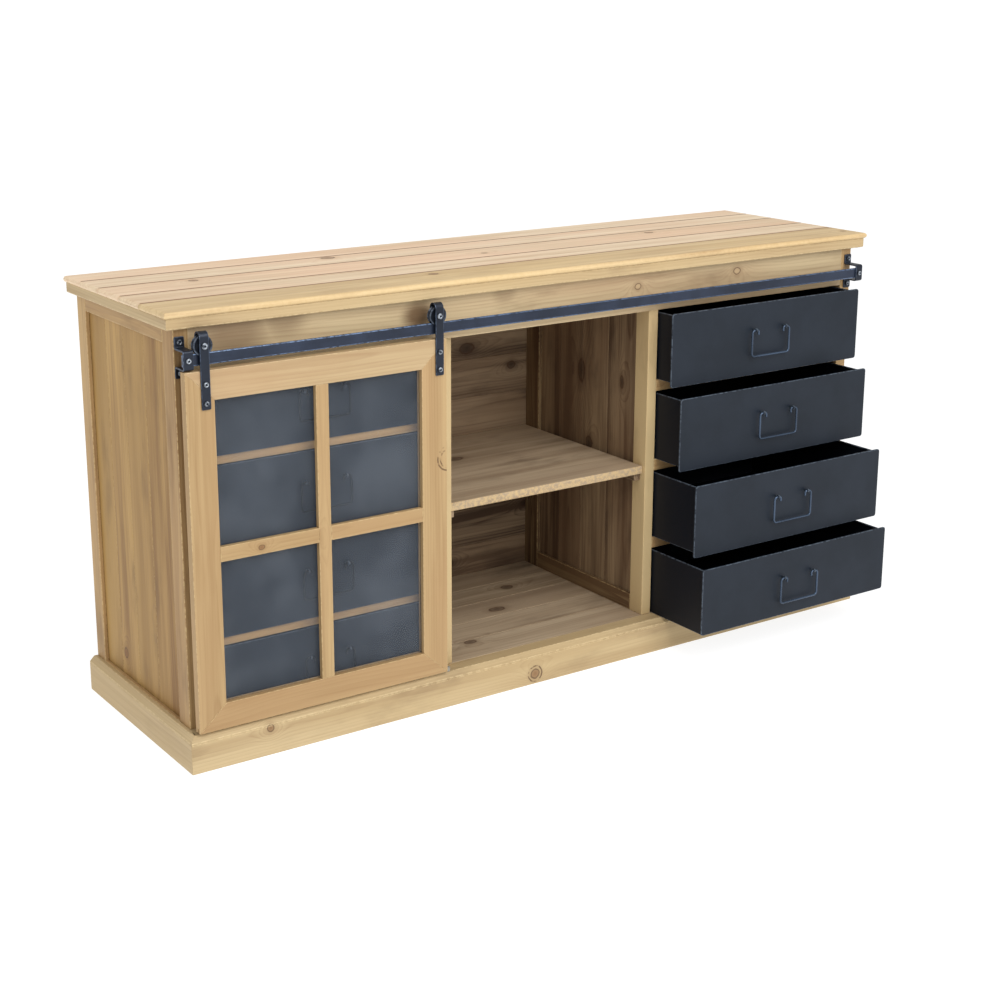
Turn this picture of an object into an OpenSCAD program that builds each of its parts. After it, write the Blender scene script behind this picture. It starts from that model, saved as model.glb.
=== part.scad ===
// Sideboard with a glazed sliding door on a steel track, an open middle bay
// with one shelf, and four sheet-steel drawers at each side.
// Origin: on the floor, in the middle of the width and of the top's depth.
// +X to the right, +Y to the back, +Z up. The front faces -Y.

/* [Overall size] */
// Width of the top, end to end
top_w = 1682; // [1400:1:2100]
// Depth of the top, front to back
top_d = 462; // [400:1:580]
// Height from the floor to the top's upper face
total_h = 850; // [760:1:1050]

/* [Top] */
// Thickness of the boards that make the top
board_t = 12; // [10:0.5:20]
// Shares of the depth at which the seams between the top boards fall
top_seams = [0.24, 0.43, 0.645, 0.83];
// Gap at a seam between two boards
seam_gap = 0.6; // [0.2:0.1:1.5]
// Height of the moulding under the boards
moulding_t = 20; // [12:0.5:30]
// Width of the moulding strips, seen from above
moulding_w = 45; // [35:1:70]
// How far the moulding stands back from the boards' edge
moulding_set_in = 4.5; // [0:0.5:8]
// Bevel along the moulding's lower outer edge
moulding_bevel = 2; // [0:0.5:4]
// Overhang of the boards past the carcase sides
overhang_side = 24; // [10:1:40]
// Overhang of the boards past the carcase front
overhang_front = 22; // [10:1:21.9]
// Overhang of the boards past the carcase back
overhang_back = 2; // [0:0.5:20]

/* [Joinery] */
// Glue line left between two pieces that are joined in one assembly
joint_gap = 0.1; // [0.05:0.05:0.3]

/* [Carcase] */
// Width of every corner post across the front
post_w = 28.5; // [22:0.5:40]
// Depth of the front corner posts
front_post_d = 45; // [35:1:60]
// Depth of the back corner posts
back_post_d = 40; // [30:1:60]
// Height of the side frames' top rail
side_rail_h = 32; // [25:1:60]
// Thickness of the planks in the side frames
side_plank_t = 10; // [6:0.5:12]
// How far the side planks stand back from the posts' outer faces
side_recess = 8; // [4:0.5:9]
// Shares of the panel's width at which the vertical plank seams fall
plank_seams = [0.3, 0.555, 0.78];
// Depth of the groove that holds the planks
groove_d = 6; // [4:0.5:8]
// Clearance between a plank and its groove, each side
groove_clear = 0.25; // [0.1:0.05:0.5]
// Height of the rail across the front under the top
face_rail_h = 83; // [60:1:110]
// Thickness of that rail and of the rails between the drawers
face_rail_t = 22; // [18:0.5:28]
// Thickness of the back planks
back_plank_t = 7; // [5:0.5:12]
// Height of one back plank
back_plank_h = 87; // [60:1:120]
// Width of the rebate in the back posts that takes the back planks' ends
back_rebate = 10; // [6:0.5:12]
// Thickness of the boards that make the bottom
bottom_t = 18; // [15:0.5:25]
// Number of boards in the bottom
bottom_count = 5; // [3:1:7]

/* [Partitions and shelf] */
// Clear width of the middle bay
middle_bay_w = 487; // [380:1:600]
// Thickness of the two partitions
partition_t = 24; // [20:0.5:30]
// Depth of the partitions' front stile
partition_front_d = 41; // [30:1:60]
// Depth of the partitions' back stile
partition_back_d = 49; // [30:1:70]
// Height of the partitions' bottom rail
partition_rail_h = 36; // [25:1:60]
// Thickness of the planks in the partitions
partition_plank_t = 8; // [6:0.5:12]
// Height of the shelf's upper face above the floor
shelf_z = 403; // [250:1:600]
// Thickness of the shelf
shelf_t = 17; // [15:0.5:25]
// How far the shelf stands back from the carcase front
shelf_set_back = 8; // [0:1:40]
// Side play of the shelf, each side
shelf_clear = 0.75; // [0.25:0.25:2]
// Width and height of the cleats under the shelf
cleat_s = 16; // [10:1:25]

/* [Plinth and base] */
// Height of the plinth
plinth_h = 71; // [50:1:100]
// Depth of the front plinth in front of the carcase
plinth_front_d = 42; // [40.5:0.5:60]
// Thickness of the side plinths
plinth_side_t = 18; // [12:0.5:30]
// Chamfer along the plinth's upper outer edge
plinth_chamfer = 10; // [2:0.5:12]
// Thickness of the bearers under the bottom and of the back rail
bearer_t = 24; // [18:0.5:30]

/* [Drawers] */
// Height of the rails between the drawers
drawer_rail_h = 24.5; // [18:0.5:35]
// Width of the runners at each side
runner_w = 30; // [20:1:45]
// Room between a closed drawer box and the back planks
drawer_back_room = 41; // [10:1:80]
// Thickness of the drawer's sheet steel
sheet_t = 1.5; // [1:0.1:2.5]
// Width and height of the rolled upper edge of the box
hem_s = 4; // [3:0.5:6]
// Side clearance of a drawer box, each side
drawer_side_clear = 3; // [1:0.5:6]
// Clearance between a drawer box and the runner under it
drawer_lift = 0.6; // [0.3:0.1:1.5]
// Clearance above a drawer box
drawer_head = 5; // [3:0.5:12]
// Thickness of a drawer front
front_t = 4; // [2:0.5:6]
// How far a front laps over the stiles at each side
front_lap_side = 5; // [0:0.5:8]
// How far a front laps over the rail below it
front_lap_low = 8; // [0:0.5:12]
// Gap between a front's upper edge and the rail above
front_top_gap = 1; // [0.5:0.5:4]
// Gap between the lowest front and the plinth
plinth_gap = 3; // [1:0.5:8]
// Radius of a front's corners
front_corner_r = 6; // [2:0.5:10]
// Gap between a closed front and the carcase
front_gap = 0.5; // [0.3:0.1:2]
// How far the right-hand drawers stand open, from the upper to the lower
pull = [48, 82, 137, 168];

/* [Handles] */
// Diameter of the handle wire
wire_d = 4.5; // [3.5:0.5:6]
// Distance between the middles of the handle's legs
handle_w = 105; // [70:1:140]
// Drop from the handle's pivot to its grip
handle_drop = 56; // [35:1:65]
// Bend radius of the handle at its corners
handle_bend_r = 7; // [5:0.5:12]
// Length of the handle's ends through the eyes
handle_end_l = 17; // [14:0.5:22]
// Length of the turned-down tips of the handle
handle_tip_l = 11; // [6:0.5:16]
// Bend radius of the turned-down tips
tip_r = 4; // [3:0.5:6]
// Height of the handle's pivot over the middle of the front
handle_pivot_up = 21; // [5:1:30]
// Distance of the handle's wire from the front
handle_reach = 9; // [7:0.5:10]
// Width of an eye along the wire
eye_w = 4; // [3:0.5:6]
// Wall of an eye around the wire
eye_wall = 1.9; // [1.5:0.1:3]
// Height of an eye's foot where it meets the front
eye_foot = 4; // [3:0.5:7]
// Running clearance of the wire in its eyes, on the radius
eye_clear = 0.06; // [0.03:0.01:0.1]

/* [Track] */
// Height of the track bar
track_h = 22; // [18:1:30]
// Thickness of the track bar
track_t = 5.5; // [4:0.5:8]
// Height of the track bar's middle above the face rail's lower edge
track_rise = 31; // [28:0.5:60]
// Distance of the bracket plate's front from the carcase front
bracket_reach = 38; // [36:0.5:50]
// Thickness of the bracket's strap
bracket_t = 3; // [2.5:0.5:5]
// Width of the bracket's strap
bracket_w = 19; // [14:0.5:26]
// Height of the bracket's front plate
bracket_plate_h = 36; // [30:1:46]
// Height of the bracket's upper and lower tab
bracket_tab_h = 19; // [14:1:26]
// Gap between the bracket and the carcase's outer edge
bracket_edge = 1; // [0:0.5:5]

/* [Door] */
// Distance of the door's right edge from the left partition
door_short = 12.5; // [-20:0.5:30]
// Distance of the door's upper edge under the track bar's middle
door_drop = 20; // [19:0.5:40]
// Thickness of the door frame
door_t = 18; // [16:0.5:22]
// Distance of the door's front from the carcase front
door_reach = 40; // [38:0.5:52]
// Gap between the door's left edge and the carcase's outer edge
door_edge = 1; // [0:0.5:6]
// Gap between the door and the plinth
door_lift = 3.5; // [2.5:0.5:10]
// Width of the door's two stiles
door_stile_w = 55; // [40:1:80]
// Height of the door's top rail
door_top_h = 54; // [40:1:80]
// Height of the door's bottom rail
door_bottom_h = 50; // [40:1:80]
// Width of the upright muntin
muntin_w = 26; // [16:1:40]
// Height of the level muntin
muntin_h = 28; // [16:1:40]
// Thickness of the muntins
muntin_t = 10; // [6:0.5:11]
// Thickness of the glass
glass_t = 4; // [3:0.5:5]
// Depth of the rebate past the door's opening
rebate_w = 8; // [5:0.5:12]
// Clearance between the glass and its rebate
glass_clear = 1; // [0.5:0.25:2]
// Width of the guide groove under the door
guide_groove_w = 5; // [4:0.5:7]
// Depth of the guide groove under the door
guide_groove_d = 9.5; // [7:0.5:14]

/* [Hangers] */
// Width of the hanger straps
strap_w = 17.5; // [14:0.5:24]
// Thickness of the hanger straps
strap_t = 3; // [2.5:0.5:4]
// Distance of the left strap's middle from the door's left edge
strap_inset = 38; // [36:0.5:50]
// Distance of the right strap's middle from the door's right edge
strap_inset_right = 16.5; // [12:0.5:50]
// How far a strap reaches down over the door
strap_foot = 69; // [50:1:100]
// Height of the strap's lower hole over its foot
strap_hole_low = 11; // [8:0.5:20]
// Distance between the strap's two lower holes
strap_hole_pitch = 34; // [20:0.5:45]
// Length of the strap's back leg
strap_back_l = 36; // [30:1:50]
// Rolling radius of a wheel on the track
wheel_r = 13; // [10:0.5:18]
// Height of the wheel's flanges over the rolling surface
wheel_flange = 5.5; // [3:0.5:8]
// Thickness of one wheel flange
flange_t = 2; // [1.5:0.5:3]
// Side play of the track in the wheel's groove, each side
groove_play = 0.4; // [0.2:0.1:1]
// Gap between the rolling surface and the track
rolling_gap = 0.3; // [0.2:0.05:0.4]
// Diameter of the axle bolts
axle_d = 8; // [6:0.5:10]
// Running clearance of the wheels on their axles, on the radius
axle_clear = 0.06; // [0.03:0.01:0.1]
// Gap between a wheel and the inside of the strap's bend
wheel_head = 3.5; // [2.5:0.5:6]

/* [Fasteners] */
// Diameter of the screws and of the bracket bolts
screw_d = 6; // [4:0.5:8]
// Diameter of a screw head
screw_head_d = 10; // [8:0.5:14]
// Height of a screw head
screw_head_h = 3.5; // [2.5:0.5:6]
// Width across the flats of the socket in a screw head
socket_af = 4; // [3:0.5:5]
// Depth of that socket
socket_d = 2; // [1:0.5:2.5]
// Clearance of a screw in its hole, on the radius
screw_clear = 0.2; // [0.1:0.05:0.5]
// Length of the wood screws into the corner posts
wood_screw_l = 20; // [12:1:22]
// Height of a nut
nut_h = 3; // [2:0.5:5]
// How far a bolt stands out past its nut
bolt_proud = 1.5; // [0:0.5:2]
// Width of a nut across its corners, as a multiple of its bolt's diameter
nut_ratio = 1.9; // [1.7:0.05:2.1]
// Gap between a bolt and its nut, on the radius, where the thread is left out
thread_gap = 0.05; // [0.03:0.01:0.1]

/* [Floor guide] */
// Thickness of the guide's foot
guide_foot_t = 2; // [1.5:0.5:2.5]
// Thickness of the guide's fin
guide_fin_t = 4; // [3:0.5:4.5]
// Length of the guide's fin
guide_fin_l = 30; // [20:1:40]
// Height of the guide's fin above the plinth
guide_fin_h = 10; // [7:0.5:12]
// Width of the guide's foot
guide_foot_w = 20; // [14:1:30]
// Length of the guide that shows past the closed door
guide_show = 10; // [0:1:20]

/* [Hidden] */
$fn = 48;
e = 1; // cutters reach this far past a face

honey = "burlywood";
brown = "peru";
steel = "#30343c";
coated = "#3c4048";

// Top
top_z = total_h - board_t;
carcase_h = top_z - moulding_t;
top_front = -top_d / 2;
top_back = top_d / 2;
seam_y = concat([top_front], [for (s = top_seams) top_front + s * top_d], [top_back]);

// Carcase
half_w = top_w / 2 - overhang_side;
front = top_front + overhang_front;
back = top_back - overhang_back;
back_in = back - back_plank_t;
post_in = half_w - post_w;
side_y0 = front + front_post_d;
side_y1 = back - back_post_d;
plank_x0 = half_w - side_recess - side_plank_t;
face_rail_z = carcase_h - face_rail_h;
rail_back = front + face_rail_t;
bottom_z = plinth_h - bottom_t;

// Partitions
bay_in = middle_bay_w / 2;
bay_out = bay_in + partition_t;
part_y0 = front + partition_front_d;
part_y1 = back_in - partition_back_d;

// Drawers, numbered from the upper to the lower
drawers = len(pull);
opening_h = (face_rail_z - plinth_h - (drawers - 1) * drawer_rail_h) / drawers;
function opening_z(i) = face_rail_z - (i + 1) * opening_h - i * drawer_rail_h;
bay_w = post_in - bay_out;
bay_mid = (post_in + bay_out) / 2;
box_w = bay_w - 2 * drawer_side_clear;
drawer_len = back_in - front - drawer_back_room;
box_h = opening_h - drawer_lift - drawer_head;
front_w = bay_w + 2 * front_lap_side;
front_back = front - front_gap;
front_face = front_back - front_t;
function front_low(i) = i < drawers - 1 ? opening_z(i) - front_lap_low : plinth_h + plinth_gap;
function front_high(i) = opening_z(i) + opening_h - front_top_gap;

// Handles
wire_r = wire_d / 2;
pivot_y = front_face - handle_reach;
pivot_drop = (opening_h + front_lap_low - front_top_gap) / 2 - handle_pivot_up;
function pivot_z(i) = front_high(i) - pivot_drop;

// Track and door
bracket_x = half_w - bracket_edge - bracket_w;
track_y = front - bracket_reach + bracket_t;
track_z = face_rail_z + track_rise;
track_mid_y = track_y + track_t / 2;
track_top = track_z + track_h / 2;
tab_hole_z = (bracket_plate_h + bracket_tab_h) / 2;
door_x0 = -half_w + door_edge;
door_x1 = -bay_out - door_short;
door_y0 = front - door_reach;
door_y1 = door_y0 + door_t;
door_z0 = plinth_h + door_lift;
door_z1 = track_z - door_drop;
pane_x0 = door_x0 + door_stile_w;
pane_x1 = door_x1 - door_stile_w;
pane_z0 = door_z0 + door_bottom_h;
pane_z1 = door_z1 - door_top_h;
glass_y0 = door_y0 + muntin_t;
glass_y1 = glass_y0 + glass_t;
muntin_x = (pane_x0 + pane_x1) / 2;
muntin_z = (pane_z0 + pane_z1) / 2;

// Hangers
strap_x = [door_x0 + strap_inset, door_x1 - strap_inset_right];
strap_y0 = door_y0 - strap_t;
axle_z = track_top + wheel_r;
wheel_out = wheel_r + wheel_flange;
strap_top = axle_z + wheel_out + wheel_head + strap_t;
strap_low = door_z1 - strap_foot;
wheel_t = track_t + 2 * (groove_play + flange_t);
strap_y1 = 2 * track_mid_y - strap_y0; // the two legs stand evenly about the track
door_screw_z = [strap_low + strap_hole_low, strap_low + strap_hole_low + strap_hole_pitch];

// Floor guide
guide_x0 = door_x1 + guide_show - guide_fin_l;
guide_y = (door_y0 + door_y1) / 2;

// ---- shapes used more than once ----

// A board from one corner to the opposite one
module block(low, high) {
    translate(low) cube(high - low);
}

// Its children, and their mirror image at the other side
module both_sides() {
    children();
    mirror([1, 0, 0]) children();
}

// A socket-head screw whose head bears on the plane y, the shank going to +Y
module screw(x, y, z, d, len, head_d, head_h) {
    translate([x, y, z]) rotate([-90, 0, 0]) {
        difference() {
            union() {
                translate([0, 0, -head_h]) cylinder(d = head_d, h = head_h);
                cylinder(d = d, h = len);
            }
            translate([0, 0, -head_h - e])
                cylinder(d = socket_af / cos(30), h = socket_d + e, $fn = 6);
        }
    }
}

// A hexagon nut around a bolt, from the plane y to +Y
module nut(x, y, z, d) {
    translate([x, y, z]) rotate([-90, 0, 0]) difference() {
        cylinder(d = nut_ratio * d, h = nut_h, $fn = 6);
        translate([0, 0, -e]) cylinder(r = d / 2 + thread_gap, h = nut_h + 2 * e);
    }
}

// A hole through a plate, along Y
module y_hole(x, y, z, r, len) {
    translate([x, y, z]) rotate([-90, 0, 0]) cylinder(r = r, h = len);
}

// ---- top ----

// The outline of the whole top slab, with half-round edges at both ends and at the front
module top_slab() {
    nose = board_t / 2;
    intersection() {
        translate([-top_w / 2, 0, top_z]) rotate([90, 0, 90]) linear_extrude(top_w) union() {
            translate([top_front + nose, 0]) square([top_d - nose, board_t]);
            translate([top_front + nose, nose]) circle(nose);
        }
        translate([0, top_back, top_z]) rotate([90, 0, 0]) linear_extrude(top_d) union() {
            translate([-top_w / 2 + nose, 0]) square([top_w - 2 * nose, board_t]);
            for (s = [-1, 1]) translate([s * (top_w / 2 - nose), nose]) circle(nose);
        }
    }
}

module top_board(i) {
    low = seam_y[i] + (i > 0 ? seam_gap / 2 : -e);
    high = seam_y[i + 1] + (i < len(seam_y) - 2 ? -seam_gap / 2 : e);
    color(honey) intersection() {
        top_slab();
        block([-top_w / 2 - e, low, top_z - e], [top_w / 2 + e, high, total_h + e]);
    }
}

// Cross-section of the moulding: its outer face at 0, its inner face at moulding_w
module moulding_section() {
    polygon([[0, moulding_bevel], [moulding_bevel, 0], [moulding_w, 0],
        [moulding_w, moulding_t], [0, moulding_t]]);
}

module top_moulding() {
    x1 = top_w / 2 - moulding_set_in;
    y0 = top_front + moulding_set_in;
    color(honey) {
        intersection() {
            translate([-x1, y0, carcase_h]) rotate([90, 0, 90])
                linear_extrude(2 * x1) moulding_section();
            translate([0, 0, carcase_h]) linear_extrude(moulding_t)
                polygon([[-x1, y0], [x1, y0], [x1 - moulding_w, y0 + moulding_w],
                    [-x1 + moulding_w, y0 + moulding_w]]);
        }
        both_sides() intersection() {
            translate([-x1, back, carcase_h]) rotate([90, 0, 0])
                linear_extrude(back - y0) moulding_section();
            translate([0, 0, carcase_h]) linear_extrude(moulding_t)
                polygon([[-x1, y0 + joint_gap], [-x1 + moulding_w, y0 + moulding_w + joint_gap],
                    [-x1 + moulding_w, back], [-x1, back]]);
        }
        block([-x1 + moulding_w + joint_gap, back - moulding_w, carcase_h],
            [x1 - moulding_w - joint_gap, back, carcase_h + moulding_t]);
    }
}

// ---- side frames and planks ----

module side_frame_shape() {
    gx0 = plank_x0 - groove_clear;
    gx1 = plank_x0 + side_plank_t + groove_clear;
    difference() {
        block([post_in, front, 0], [half_w, side_y0, carcase_h]);
        block([gx0, side_y0 - groove_d, plinth_h - groove_d],
            [gx1, side_y0 + e, carcase_h - side_rail_h + groove_d]);
        for (s = [-1, 1])
            y_hole(bracket_x + bracket_w / 2, front - e, track_z + s * tab_hole_z,
                screw_d / 2 + thread_gap, wood_screw_l + e);
    }
    difference() {
        block([post_in, side_y1, 0], [half_w, back, carcase_h]);
        block([gx0, side_y1 - e, plinth_h - groove_d],
            [gx1, side_y1 + groove_d, carcase_h - side_rail_h + groove_d]);
        block([post_in - e, back_in, bottom_z], [post_in + back_rebate, back + e, carcase_h + e]);
    }
    rail_y0 = side_y0 + joint_gap;
    rail_y1 = side_y1 - joint_gap;
    difference() {
        block([post_in, rail_y0, carcase_h - side_rail_h], [half_w, rail_y1, carcase_h]);
        block([gx0, side_y0 - e, carcase_h - side_rail_h - e],
            [gx1, side_y1 + e, carcase_h - side_rail_h + groove_d]);
    }
    difference() {
        block([post_in, rail_y0, 0], [half_w, rail_y1, plinth_h]);
        block([gx0, side_y0 - e, plinth_h - groove_d], [gx1, side_y1 + e, plinth_h + e]);
    }
}

// Upright planks with a small gap at each seam, from y0 to y1, in the groove all round
module upright_planks(x0, x1, y0, y1, z0, z1) {
    seams = concat([0], plank_seams, [1]);
    for (i = [0:len(seams) - 2]) {
        low = y0 + seams[i] * (y1 - y0) + (i > 0 ? seam_gap / 2 : 0);
        high = y0 + seams[i + 1] * (y1 - y0) - (i < len(seams) - 2 ? seam_gap / 2 : 0);
        block([x0, low, z0], [x1, high, z1]);
    }
}

module side_planks_shape() {
    lap = groove_d - groove_clear;
    upright_planks(plank_x0, plank_x0 + side_plank_t, side_y0 - lap, side_y1 + lap,
        plinth_h - lap, carcase_h - side_rail_h + lap);
}

module side_frame_left() { color(honey) mirror([1, 0, 0]) side_frame_shape(); }
module side_frame_right() { color(honey) side_frame_shape(); }
module side_planks_left() { color(brown) mirror([1, 0, 0]) side_planks_shape(); }
module side_planks_right() { color(brown) side_planks_shape(); }

// ---- partitions ----

module partition_frame_shape() {
    gx0 = bay_in + (partition_t - partition_plank_t) / 2 - groove_clear;
    gx1 = bay_out - (partition_t - partition_plank_t) / 2 + groove_clear;
    gz0 = plinth_h + partition_rail_h - groove_d;
    gz1 = face_rail_z + groove_d;
    rail_y0 = part_y0 + joint_gap;
    rail_y1 = part_y1 - joint_gap;
    difference() {
        block([bay_in, front, plinth_h], [bay_out, part_y0, carcase_h]);
        block([bay_in - e, front - e, face_rail_z], [bay_out + e, rail_back, carcase_h + e]);
        block([gx0, part_y0 - groove_d, gz0], [gx1, part_y0 + e, gz1]);
    }
    difference() {
        block([bay_in, part_y1, plinth_h], [bay_out, back_in, carcase_h]);
        block([gx0, part_y1 - e, gz0], [gx1, part_y1 + groove_d, gz1]);
    }
    difference() {
        block([bay_in, rail_y0, plinth_h], [bay_out, rail_y1, plinth_h + partition_rail_h]);
        block([gx0, part_y0 - e, gz0], [gx1, part_y1 + e, plinth_h + partition_rail_h + e]);
    }
    difference() {
        block([bay_in, rail_y0, face_rail_z], [bay_out, rail_y1, carcase_h]);
        block([gx0, part_y0 - e, face_rail_z - e], [gx1, part_y1 + e, gz1]);
    }
}

module partition_planks_shape() {
    lap = groove_d - groove_clear;
    upright_planks(bay_in + (partition_t - partition_plank_t) / 2,
        bay_out - (partition_t - partition_plank_t) / 2, part_y0 - lap, part_y1 + lap,
        plinth_h + partition_rail_h - lap, face_rail_z + lap);
}

module partition_frame_left() { color(honey) mirror([1, 0, 0]) partition_frame_shape(); }
module partition_frame_right() { color(honey) partition_frame_shape(); }
module partition_planks_left() { color(brown) mirror([1, 0, 0]) partition_planks_shape(); }
module partition_planks_right() { color(brown) partition_planks_shape(); }

// ---- rails, back, bottom and shelf ----

module face_rail() {
    color(honey) block([-post_in, front, face_rail_z], [post_in, rail_back, carcase_h]);
}

module back_planks() {
    count = ceil((carcase_h - bottom_z) / back_plank_h);
    end = post_in + back_rebate - groove_clear;
    color(brown) for (i = [0:count - 1]) {
        z0 = bottom_z + i * back_plank_h;
        block([-end, back_in, z0],
            [end, back, min(z0 + back_plank_h - seam_gap, carcase_h)]);
    }
}

module bottom_boards() {
    step = (back_in - front) / bottom_count;
    color(honey) for (i = [0:bottom_count - 1])
        block([-post_in, front + i * step, bottom_z],
            [post_in, front + (i + 1) * step - (i < bottom_count - 1 ? seam_gap : 0), plinth_h]);
}

module middle_shelf() {
    color(honey) block([-bay_in + shelf_clear, front + shelf_set_back, shelf_z - shelf_t],
        [bay_in - shelf_clear, back_in - shelf_clear, shelf_z]);
}

// A cleat under each end of the shelf, from the front stile to the back stile
module shelf_cleats() {
    color(brown) both_sides()
        block([bay_in - cleat_s, front + 2 * shelf_set_back, shelf_z - shelf_t - cleat_s],
            [bay_in, back_in, shelf_z - shelf_t]);
}

module drawer_rails() {
    color(honey) both_sides() for (i = [0:drawers - 2])
        block([bay_out, front, opening_z(i) - drawer_rail_h],
            [post_in, rail_back, opening_z(i)]);
}

// Runners behind every drawer rail, and one more pair as kickers above the upper drawer
module drawer_runners() {
    color(brown) both_sides() for (i = [-1:drawers - 2]) {
        top = i < 0 ? face_rail_z + drawer_rail_h : opening_z(i);
        block([bay_out, rail_back, top - drawer_rail_h], [bay_out + runner_w, back_in, top]);
        block([post_in - runner_w, rail_back, top - drawer_rail_h], [post_in, back_in, top]);
    }
}

// ---- base and plinth ----

module base_bearers() {
    color(brown) for (x = [-(bay_in + bay_out) / 2, 0, (bay_in + bay_out) / 2])
        block([x - bearer_t / 2, front, 0], [x + bearer_t / 2, back - bearer_t, bottom_z]);
}

module base_back_rail() {
    color(brown) block([-post_in, back - bearer_t, 0], [post_in, back, bottom_z]);
}

// Cross-section of a plinth board, its outer face at 0
module plinth_section(depth) {
    polygon([[0, 0], [depth, 0], [depth, plinth_h], [plinth_chamfer, plinth_h],
        [0, plinth_h - plinth_chamfer]]);
}

plinth_x = half_w + plinth_side_t;
plinth_y = front - plinth_front_d;

module plinth_front() {
    color(honey) intersection() {
        translate([-plinth_x, plinth_y, 0]) rotate([90, 0, 90])
            linear_extrude(2 * plinth_x) plinth_section(plinth_front_d);
        linear_extrude(plinth_h) polygon([[-plinth_x, plinth_y], [plinth_x, plinth_y],
            [half_w, plinth_y + plinth_side_t], [half_w, front], [-half_w, front],
            [-half_w, plinth_y + plinth_side_t]]);
    }
}

module plinth_side_shape() {
    intersection() {
        translate([-plinth_x, back, 0]) rotate([90, 0, 0])
            linear_extrude(back - plinth_y) plinth_section(plinth_side_t);
        linear_extrude(plinth_h) polygon([[-plinth_x, plinth_y],
            [-half_w, plinth_y + plinth_side_t], [-half_w, back], [-plinth_x, back]]);
    }
}

module plinth_left() { color(honey) plinth_side_shape(); }
module plinth_right() { color(honey) mirror([1, 0, 0]) plinth_side_shape(); }

// ---- track ----

bolt_r = screw_d / 2 + screw_clear;

module track_bar() {
    end = bracket_x + bracket_w;
    color(steel) difference() {
        block([-end, track_y, track_z - track_h / 2], [end, track_y + track_t, track_top]);
        for (s = [-1, 1])
            y_hole(s * (bracket_x + bracket_w / 2), track_y - e, track_z, bolt_r, track_t + 2 * e);
    }
}

// A hat-shaped strap: two tabs on the face, two arms, and a plate in front of the bar
module track_bracket_shape() {
    y1 = front;
    y0 = front - bracket_reach;
    za = bracket_plate_h / 2;
    zt = za + bracket_tab_h;
    t = bracket_t;
    difference() {
        translate([bracket_x, 0, track_z]) rotate([90, 0, 90]) linear_extrude(bracket_w)
            polygon([[y1, zt], [y1 - t, zt], [y1 - t, za], [y0, za], [y0, -za], [y1 - t, -za],
                [y1 - t, -zt], [y1, -zt], [y1, -za + t], [y0 + t, -za + t], [y0 + t, za - t],
                [y1, za - t]]);
        for (z = [-tab_hole_z, 0, tab_hole_z])
            y_hole(bracket_x + bracket_w / 2, y0 - e, track_z + z, bolt_r, bracket_reach + 2 * e);
    }
}

module track_bracket_left() { color(steel) mirror([1, 0, 0]) track_bracket_shape(); }
module track_bracket_right() { color(steel) track_bracket_shape(); }

// Wood screws in the bracket tabs, a bolt and nut through each bracket plate and the bar
module track_fasteners() {
    y0 = front - bracket_reach;
    color(steel) for (s = [-1, 1]) {
        x = s * (bracket_x + bracket_w / 2);
        for (z = [-tab_hole_z, tab_hole_z])
            screw(x, front - bracket_t, track_z + z, screw_d, wood_screw_l,
                screw_head_d, screw_head_h);
        screw(x, y0, track_z, screw_d, bracket_t + track_t + nut_h + bolt_proud,
            screw_head_d, screw_head_h);
        nut(x, track_y + track_t, track_z, screw_d);
    }
}

// ---- door ----

// Cuts shared by the four frame members: the rebate, the guide groove and the strap's screws
module door_cuts() {
    block([pane_x0 - rebate_w, glass_y0, pane_z0 - rebate_w],
        [pane_x1 + rebate_w, door_y1 + e, pane_z1 + rebate_w]);
    block([door_x0 - e, guide_y - guide_groove_w / 2, door_z0 - e],
        [door_x1 + e, guide_y + guide_groove_w / 2, door_z0 + guide_groove_d]);
    for (x = strap_x, z = door_screw_z)
        y_hole(x, door_y0 - e, z, screw_d / 2 + screw_clear, door_t + 2 * e);
}

// One mitred frame member, its outline given in X and Z
module door_member(outline) {
    difference() {
        translate([0, door_y1, 0]) rotate([90, 0, 0]) linear_extrude(door_t) polygon(outline);
        door_cuts();
    }
}

module door_left_stile() {
    color(honey) door_member([[door_x0, door_z0], [pane_x0, pane_z0],
        [pane_x0, pane_z1], [door_x0, door_z1]]);
}

module door_right_stile() {
    color(honey) door_member([[door_x1, door_z0], [door_x1, door_z1],
        [pane_x1, pane_z1], [pane_x1, pane_z0]]);
}

module door_top_rail() {
    color(honey) door_member([[door_x0, door_z1], [pane_x0, pane_z1],
        [pane_x1, pane_z1], [door_x1, door_z1]]);
}

module door_bottom_rail() {
    color(honey) door_member([[door_x0, door_z0], [door_x1, door_z0],
        [pane_x1, pane_z0], [pane_x0, pane_z0]]);
}

// An upright bar and two level bars between it and the stiles, in front of the glass
module door_muntins() {
    color(honey) {
        block([muntin_x - muntin_w / 2, door_y0, pane_z0],
            [muntin_x + muntin_w / 2, glass_y0, pane_z1]);
        block([pane_x0, door_y0, muntin_z - muntin_h / 2],
            [muntin_x - muntin_w / 2 - joint_gap, glass_y0, muntin_z + muntin_h / 2]);
        block([muntin_x + muntin_w / 2 + joint_gap, door_y0, muntin_z - muntin_h / 2],
            [pane_x1, glass_y0, muntin_z + muntin_h / 2]);
    }
}

module door_glass() {
    lap = rebate_w - glass_clear;
    color("lightsteelblue", 0.4) block([pane_x0 - lap, glass_y0, pane_z0 - lap],
        [pane_x1 + lap, glass_y1, pane_z1 + lap]);
}

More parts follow.
